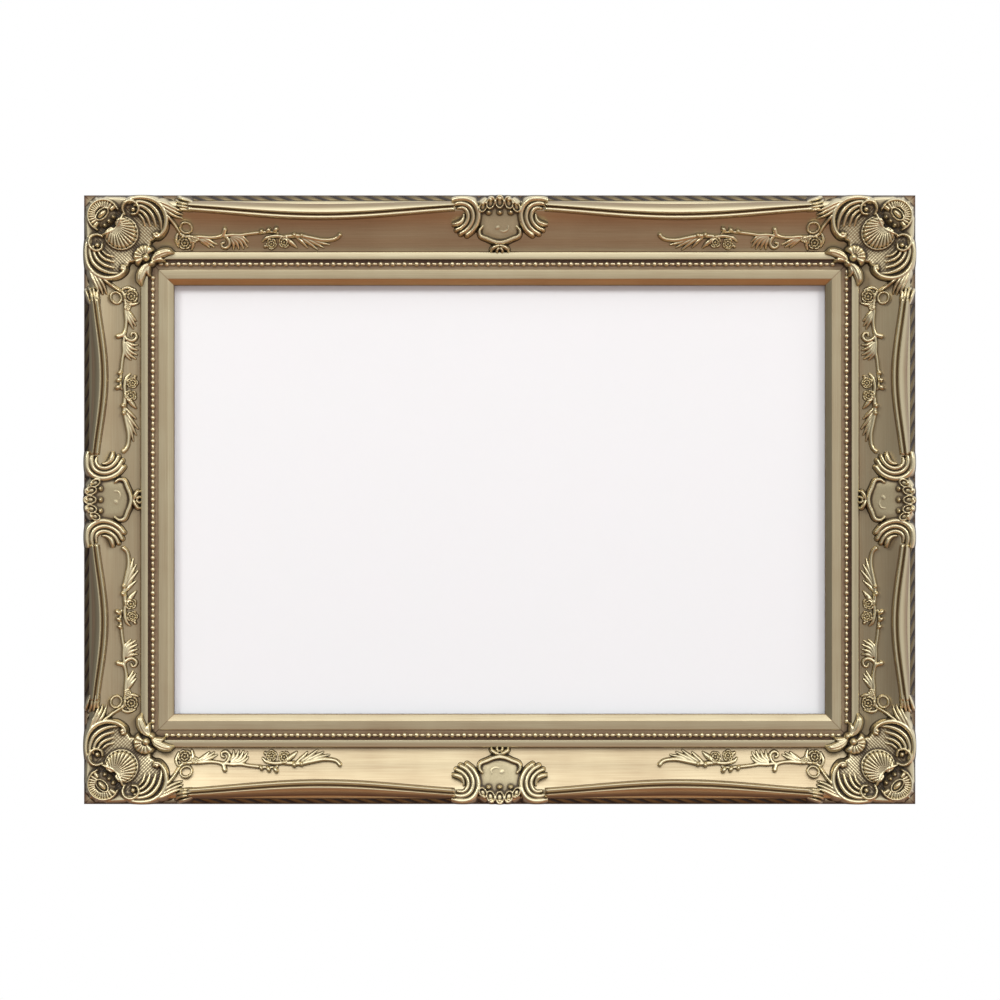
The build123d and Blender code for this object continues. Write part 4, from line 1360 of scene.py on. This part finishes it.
@dataclass
class CentreOrnament(Casting):
    """Two C-scrolls about a shield with a crown of petals, at the middle of each side."""

    crown: float = 36.6
    fall: float = 0.235

    def carrier(self, u: Array, v: Array) -> Array:
        """Ground that falls from the crown to the inner lip in one plane."""
        return self.crown - self.fall * v * STEP

    def carve(self) -> Relief:
        """Raises every motif; x is in steps from the middle of the side.

        Returns:
            The carved sheet.
        """
        sheet = self.blank((-48.0, 1.0), (48.0, 59.0))
        rise = self.rise
        half = [(0, 4), (14, 5), (20, 8), (22, 14), (20.6, 28), (20, 36), (18, 42), (10, 47), (0, 49)]
        sheet.plate(half + [(-x, v) for x, v in reversed(half[1:-1])], 2.2, 9.0)
        scrolls = [
            [(48, 6.8, 4.4, 0.8), (40, 5.2, 5.6, 1.05), (31, 6.0, 5.8, 1.1), (24.4, 11.0, 5.8, 1.1),
             (21.2, 19.4, 5.8, 1.1), (22.4, 28, 5.6, 1.05), (26.6, 35.6, 5.2, 1.0),
             (32.6, 40.6, 4.6, 0.9)],
            [(47, 11.2, 3.8, 0.7), (39.4, 9.6, 5.0, 1.0), (32.4, 11.2, 5.2, 1.05), (27.8, 16, 5.2, 1.05),
             (26.4, 23.2, 5.2, 1.05), (28.6, 30.2, 5.0, 1.0), (33.2, 35.8, 4.8, 0.95),
             (39.0, 39.2, 4.2, 0.85)],
            [(42, 14.4, 3.4, 0.7), (36.4, 14.2, 4.4, 0.95), (32.4, 17.6, 4.8, 1.0), (31.4, 23.4, 4.8, 1.0),
             (33.8, 29.2, 4.8, 1.0), (38.2, 33.4, 4.6, 0.95), (43.2, 35.6, 4.0, 0.85)],
            [(35.8, 20.6, 2.6, 0.8), (36.4, 24.6, 3.8, 1.0), (39.2, 28.4, 5.4, 1.3),
             (43.4, 30.0, 5.2, 1.25), (46.8, 30.2, 3.2, 0.9)],
        ]
        for sign in (-1, 1):
            for line in scrolls:
                sheet.stroke([(sign * x, *rest) for x, *rest in line], rise)
        for x, v, size in ((0, 7.4, 1.0), (9, 8.4, 0.95), (16.6, 12.4, 0.85)):
            for sign in (-1, 1) if x else (1,):
                turn = -sign * math.atan2(x, 30)
                sheet.ball(sign * x, v + 0.6, 3.7 * size, rise * 0.9, 1.45, turn + math.pi / 2)
                sheet.ring(sign * x, v + 0.8, 3.9 * size, 1.5, rise * 1.45, 1.5, turn + math.pi / 2)
                sheet.ball(sign * x, v - 2.2, 2.4 * size, rise * 1.5, 1.3, turn)
        for x in (-11, 0, 11):
            sheet.ball(x, 18.6, 2.3, rise * 1.75, 1.25)
        self.carve_shield(sheet)
        return sheet

    def carve_shield(self, sheet: Relief) -> None:
        """Brushed field with a small curl mark, a wavy lower rim with ears, and a leafy pendant."""
        lift = 1.7
        curl = [
            (-8.4, 31.8, 1.4, 0.9), (-8.0, 35.4, 1.7, 1.0), (-4.6, 37.4, 1.8, 1.0), (-0.8, 36.8, 1.4, 0.8),
        ]
        sheet.stroke(curl, 0.9, lift=lift)
        sheet.ball(2.2, 33.4, 2.2, 0.9, 1.4, 0.5, lift)
        for v, half in ((25.4, 9.0), (40.4, 11.0), (42.8, 8.0)):
            line = [
                (-half, v - 0.8, 1.0, 0.6), (-half / 3, v + 0.5, 1.3, 1.0), (half / 3, v - 0.3, 1.3, 1.0),
                (half, v - 1, 1.0, 0.6),
            ]
            sheet.stroke(line, 0.8, lift=lift - 0.3)
        ear = [
            (17.4, 32.5, 2.4, 0.9), (20.2, 36.6, 3.4, 1.05), (19.0, 41.6, 4.0, 1.1), (12.5, 44.4, 4.4, 1.15),
            (5.8, 47.2, 4.6, 1.2), (0, 48.2, 4.6, 1.2),
        ]
        leaf = [(0.8, 51, 2.6, 0.9), (4.2, 52.0, 4.2, 1.1), (7.8, 54.2, 3.8, 1.0), (8.4, 56.6, 2.0, 0.7)]
        tip = [(1.0, 53.6, 2.6, 0.9), (2.8, 55.8, 3.0, 1.0), (2.2, 57.6, 1.8, 0.7)]
        for sign in (-1, 1):
            for line, share, cut in ((ear, 1.15, Cut.REEDED), (leaf, 1.2, Cut.ROUND), (tip, 1.1, Cut.ROUND)):
                drawn = [(sign * x, *rest) for x, *rest in line]
                sheet.stroke(drawn, self.rise * share, cut, 2, groove=0.3)

    def build(self) -> None:
        """Makes the four castings from one carving."""
        sheet = self.carve()
        for side in Side:
            self.cast(sheet, "carved_centre_" + side.label, "centre_ornament_" + side.label, side.placement())


@dataclass
class FloralSpray(Casting):
    """Rose spray in the hollow of each half side, its strokes widened by one share so that they read."""

    cell: float = 0.42
    blur: float = 0.6
    rise: float = 3.8
    bold: float = 1.25
    sunk: float = 0.1

    def carrier(self, u: Array, v: Array) -> Array:
        """The hollow itself, a hair below its surface."""
        return self.bare(u, v) - self.sunk

    def carve(self) -> Relief:
        """Raises every motif; u is in steps from the outer corner along the side.

        Returns:
            The carved sheet.
        """
        sheet = self.blank((86.0, 22.0), (266.0, 60.0))
        rise = self.rise
        stems = [
            [(93, 33, 3.0, 0.8), (97.6, 39.6, 3.4, 0.95), (103, 41.6, 3.2, 0.95), (110, 42.4, 3.4, 1.0),
             (117, 42.4, 3.4, 1.0), (126, 43, 3.2, 0.95), (134, 42.4, 3.2, 0.95), (139.4, 40.4, 3.8, 1.05),
             (141.4, 35.4, 4.6, 1.2)],
            [(140, 41.4, 3.0, 0.9), (149, 40.4, 3.2, 0.95), (157, 40.6, 3.0, 0.95), (166, 39.2, 3.0, 0.95),
             (178, 38, 3.0, 0.9), (187, 37.4, 2.6, 0.8), (194, 38.6, 2.4, 0.7)],
            [(198, 42, 3.4, 0.9), (207, 41.6, 4.0, 1.05), (217, 41.4, 4.2, 1.1), (228, 43.4, 4.0, 1.1),
             (239, 45.4, 3.8, 1.1), (248, 45, 3.6, 1.05), (253, 43.4, 3.6, 1.1), (256, 40.4, 4.0, 1.2)],
            [(141, 41, 3.0, 0.9), (144.6, 44.6, 3.4, 1.0), (145.6, 49.6, 3.4, 1.1), (142.4, 53, 3.2, 1.1),
             (138.4, 51.8, 2.8, 1.05), (138, 48.8, 2.6, 1.0), (140.6, 47.8, 2.4, 1.0)],
            [(199, 43, 3.0, 0.9), (204, 45.4, 4.6, 1.1), (209.4, 49.4, 4.2, 1.05), (213, 52.6, 1.8, 0.6)],
            [(179, 46.6, 2.2, 0.7), (182.6, 43.4, 3.4, 1.0), (191, 41.6, 3.6, 1.0), (200, 42.2, 3.4, 1.0)],
        ]
        fingers = [
            [(115, 44, 3.0, 0.8), (120, 47.6, 3.6, 1.0), (125.6, 52.4, 1.8, 0.5)],
            [(116, 43.4, 2.8, 0.8), (122.6, 47, 3.6, 1.0), (130.4, 52.0, 1.8, 0.5)],
            [(117, 42.8, 2.6, 0.8), (125.6, 46, 3.4, 1.0), (133.6, 49.8, 1.6, 0.5)],
            [(147.4, 44, 3.0, 0.9), (149.6, 48.6, 3.6, 1.0), (149.8, 54.0, 1.8, 0.5)],
            [(148, 42.8, 3.0, 0.9), (152.6, 47.4, 3.8, 1.0), (155, 53.8, 1.8, 0.5)],
            [(148, 42, 3.0, 0.9), (155.6, 46, 3.8, 1.0), (159.6, 53.4, 1.8, 0.5)],
            [(149, 41.6, 2.8, 0.9), (158, 44.6, 3.6, 1.0), (163.6, 52.0, 1.8, 0.5)],
            [(151, 41.2, 2.6, 0.9), (159.6, 42.8, 2.8, 0.9), (164.6, 47.4, 1.6, 0.5)],
            [(214, 43.4, 2.8, 0.9), (218.6, 47.4, 3.4, 1.0), (223.4, 52.4, 1.8, 0.5)],
            [(218, 43.6, 2.8, 0.9), (225, 48, 3.6, 1.0), (233.4, 54.4, 1.8, 0.5)],
            [(222, 44, 2.8, 0.9), (230.4, 48, 3.4, 1.0), (239.6, 52.6, 1.6, 0.5)],
            [(227, 44.6, 2.6, 0.9), (236, 47.8, 3.0, 0.95), (245.6, 49.8, 1.6, 0.5)],
            [(94, 40, 2.8, 0.8), (92.6, 45, 3.6, 1.0), (95, 51.4, 2.8, 0.8)],
            [(106, 41, 2.8, 0.8), (109.4, 48, 3.6, 1.0), (108, 54.4, 2.2, 0.7)],
        ]
        for line in stems + fingers:
            sheet.stroke([(u, v, width * self.bold, share) for u, v, width, share in line], rise)
        sheet.ring(103, 33.4, 5.0, 2.6, rise * 1.2, 1.16, 0.4)
        sheet.rose(101.4, 48.0, 7.4, rise * 1.35, 0.4)
        sheet.rose(112, 44.6, 3.6, rise * 1.45, 1.2, 4)
        for u, v, radius in ((177.6, 37.2, 2.3), (185, 36.0, 2.5), (192.2, 35.4, 2.7)):
            sheet.ball(u, v, radius, rise * 1.45, 1.45, -0.9)
        sheet.rose(187.8, 49.2, 6.0, rise * 1.35, 0.9)
        sheet.rose(200.6, 47.4, 6.4, rise * 1.35, 0.2)
        sheet.ball(181.4, 51.6, 2.0, rise * 1.2)
        for u, v, radius in ((210.6, 40.4, 2.9), (218.0, 41.0, 2.6)):
            sheet.ball(u, v, radius, rise * 1.6)
        return sheet

    def build(self) -> None:
        """Makes the eight sprays from one carving, mirrored about the middle of each side."""
        sheet = self.carve()
        for side in Side:
            shift = -side.length / 2 / STEP
            for label, placement in side.halves():
                self.cast(sheet, "carved_spray_" + label, "floral_spray_" + label, placement, shift)


# Glazing and hardware


@dataclass
class Kept:
    """CAD nodes whose shape is right and that only take a finish, by the start of their names."""

    finishes: Finishes
    rules: tuple[tuple[str, str], ...] = (
        ("glass_pane", "glass"), ("insert_card", "card"), ("backing_board", "hardboard"), ("v_nails", "zinc"),
        ("turn_button", "zinc"), ("hanger", "zinc"), ("wall_bumpers", "rubber"),
    )

    def build(self) -> None:
        """Gives each carried-over node its material by name."""
        for name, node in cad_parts.items():
            for finish in (finish for start, finish in self.rules if name.startswith(start)):
                slots = node.data.materials
                if not slots:
                    slots.append(None)
                for index in range(len(slots)):
                    slots[index] = self.finishes[finish]
                log.info("%s takes %s", name, self.finishes[finish].name)


# Studio


@dataclass
class Studio:
    """Camera, pale floor, soft lights and a white surround.

    Attributes:
        centre: Where the camera stands across and up.
        ground_from: Upward share of a direction where the warm ground starts and where it is full.
        glows: Soft areas of the room: direction, cosines where each starts and is full, strength.
        lamps: Name, place, size and power of each softbox.
    """

    camera_gap: float = 3.433
    face_depth: float = 0.0225
    centre: Pair = (0.00027, -0.00027)
    lens: float = 135.0
    sensor: float = 36.0
    floor_height: float = -2.2
    floor_radius: float = 0.45
    floor_depth: float = 0.02
    floor_sides: int = 96
    room: float = 0.23
    room_colour: str = "#F6F8FF"
    ground_colour: str = "#FFA25E"
    ground_from: Pair = (-0.15, -1.0)
    backdrop_towards: tuple[float, float, float] = (0.3, 0.87, 0.4)
    backdrop_from: float = 0.84
    glows: tuple[tuple[tuple[float, float, float], float, float, float], ...] = (
        ((0.0, -0.5, 0.866), 0.8, 0.95, 1.45),
        ((0.0, 0.5, 0.866), 0.6, 0.95, 0.7),
        ((1.0, 0.0, 0.0), 0.3, 0.8, 0.7),
        ((0.0, -0.809, 0.588), 0.92, 0.985, 1.35),
        ((0.0, -1.0, 0.0), 0.84, 0.99, 0.66),
        ((0.0, -0.4, -0.917), 0.6, 0.98, 0.26),
    )
    lamps: tuple[tuple[str, tuple[float, float, float], Pair, float], ...] = (
        ("upper_left_softbox", (-1.55, -1.75, 1.5), (0.75, 0.75), 21.0),
        ("upper_right_softbox", (1.7, -1.75, 1.4), (0.65, 0.65), 19.0),
    )

    def build(self) -> None:
        """Sets up everything that is not the frame."""
        self.set_camera()
        self.lay_floor()
        self.set_world()
        self.set_lamps()
        bpy.context.scene.view_settings.view_transform = "Standard"

    def set_camera(self) -> None:
        """A long lens straight in front, so the frame fills the picture as photographed."""
        data = bpy.data.cameras.new("camera")
        data.lens, data.sensor_width = self.lens, self.sensor
        camera = bpy.data.objects.new("camera", data)
        camera.location = (self.centre[0], -(self.camera_gap + self.face_depth), self.centre[1])
        camera.rotation_euler = (math.pi / 2, 0, 0)
        bpy.context.scene.collection.objects.link(camera)
        bpy.context.scene.camera = camera

    def lay_floor(self) -> None:
        """A round pale floor well under the frame, out of the camera's view."""
        count = self.floor_sides
        index = np.arange(count)
        turns = index * (2 * math.pi / count)
        rim = np.column_stack([np.cos(turns), np.sin(turns), np.zeros(count)]) * self.floor_radius
        points = np.concatenate([rim, rim]) + np.array([0, 0, self.floor_height])
        points[count:, 2] -= self.floor_depth
        after = (index + 1) % count
        faces = np.stack([index + count, after + count, after, index], axis=1)
        # Limed boards: pale and warm, with a broad faint mottle.
        limed = Plain("pale_limed_floor", "#EEDCC3", "#E6D2B6", (40.0, 40.0, 40.0), (0.5, 0.65), bump_mm=0.01)
        floor = make_piece("floor", points, faces, [index, index[::-1] + count], None, [limed.make()])

    def set_world(self) -> None:
        """White to the camera and behind the frame; elsewhere a soft studio seen as light and reflection.

        Its strength is the sum of a dim room and the glows, each a smooth ramp of the direction seen: a
        ceiling in front, another behind, a side window on the right, a bright panel above the camera, a
        softbox round it and a faint bounce from below, which is warm, as off a wooden floor.
        """
        world = bpy.data.worlds.new("studio")
        world.use_nodes = True
        tree = world.node_tree
        tree.nodes.clear()
        where = add_node(tree, "TexCoord").outputs["Generated"]
        total = self.room
        for towards, low, high, strength in self.glows:
            lean = add_node(tree, "VectorMath", {0: where, 1: towards}, operation="DOT_PRODUCT")
            span = {"Value": lean, "From Min": low, "From Max": high, "To Max": strength}
            ramp = add_node(tree, "MapRange", span, interpolation_type="SMOOTHSTEP")
            total = add_node(tree, "Math", {0: ramp, 1: total}, operation="ADD")
        height = add_node(tree, "SeparateXYZ", {0: where}).outputs["Z"]
        level, straight_down = self.ground_from
        below = add_node(tree, "MapRange", {"Value": height, "From Min": level, "From Max": straight_down})
        colours = {0: below, 6: linear(self.room_colour), 7: linear(self.ground_colour)}
        tint = add_node(tree, "Mix", colours, data_type="RGBA")
        studio = add_node(tree, "Background", {"Color": tint, "Strength": total})
        white = add_node(tree, "Background", {"Color": (1.0, 1.0, 1.0, 1.0), "Strength": 1.0})
        path = add_node(tree, "LightPath").outputs
        behind = add_node(tree, "VectorMath", {0: where, 1: self.backdrop_towards}, operation="DOT_PRODUCT")
        back = add_node(tree, "Math", {0: behind, 1: self.backdrop_from}, operation="GREATER_THAN")
        shiny = add_node(tree, "Math", {0: path["Is Glossy Ray"], 1: back}, operation="MULTIPLY")
        seen = add_node(tree, "Math", {0: path["Is Camera Ray"], 1: shiny}, operation="MAXIMUM")
        through = add_node(tree, "Math", {0: seen, 1: path["Is Transmission Ray"]}, operation="MAXIMUM")
        mixed = add_node(tree, "MixShader", {0: through, 1: studio, 2: white})
        add_node(tree, "OutputWorld", {"Surface": mixed})
        bpy.context.scene.world = world

    def set_lamps(self) -> None:
        """Two softboxes off to the upper corners, which draw the ornament's glints and shadows."""
        for name, place, size, power in self.lamps:
            data = bpy.data.lights.new(name, "AREA")
            data.shape = "RECTANGLE"
            data.size, data.size_y = size
            data.energy = power
            lamp = bpy.data.objects.new(name, data)
            lamp.location = place
            lamp.rotation_euler = (-Vector(place)).to_track_quat("-Z", "Y").to_euler()
            bpy.context.scene.collection.objects.link(lamp)


def main() -> None:
    """Builds the frame's pieces in order."""
    logging.basicConfig(level=logging.INFO, format="%(name)s: %(message)s")
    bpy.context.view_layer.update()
    finishes = make_finishes()
    moulding = Moulding()
    Studio().build()
    Rails(moulding, finishes).build()
    Beading(finishes).build()
    Roping(finishes).build()
    SweptRidges(moulding, finishes).build()
    CornerOrnament(moulding, finishes).build()
    CentreOrnament(moulding, finishes).build()
    FloralSpray(moulding, finishes).build()
    Kept(finishes).build()


if __name__ == "__main__":
    main()
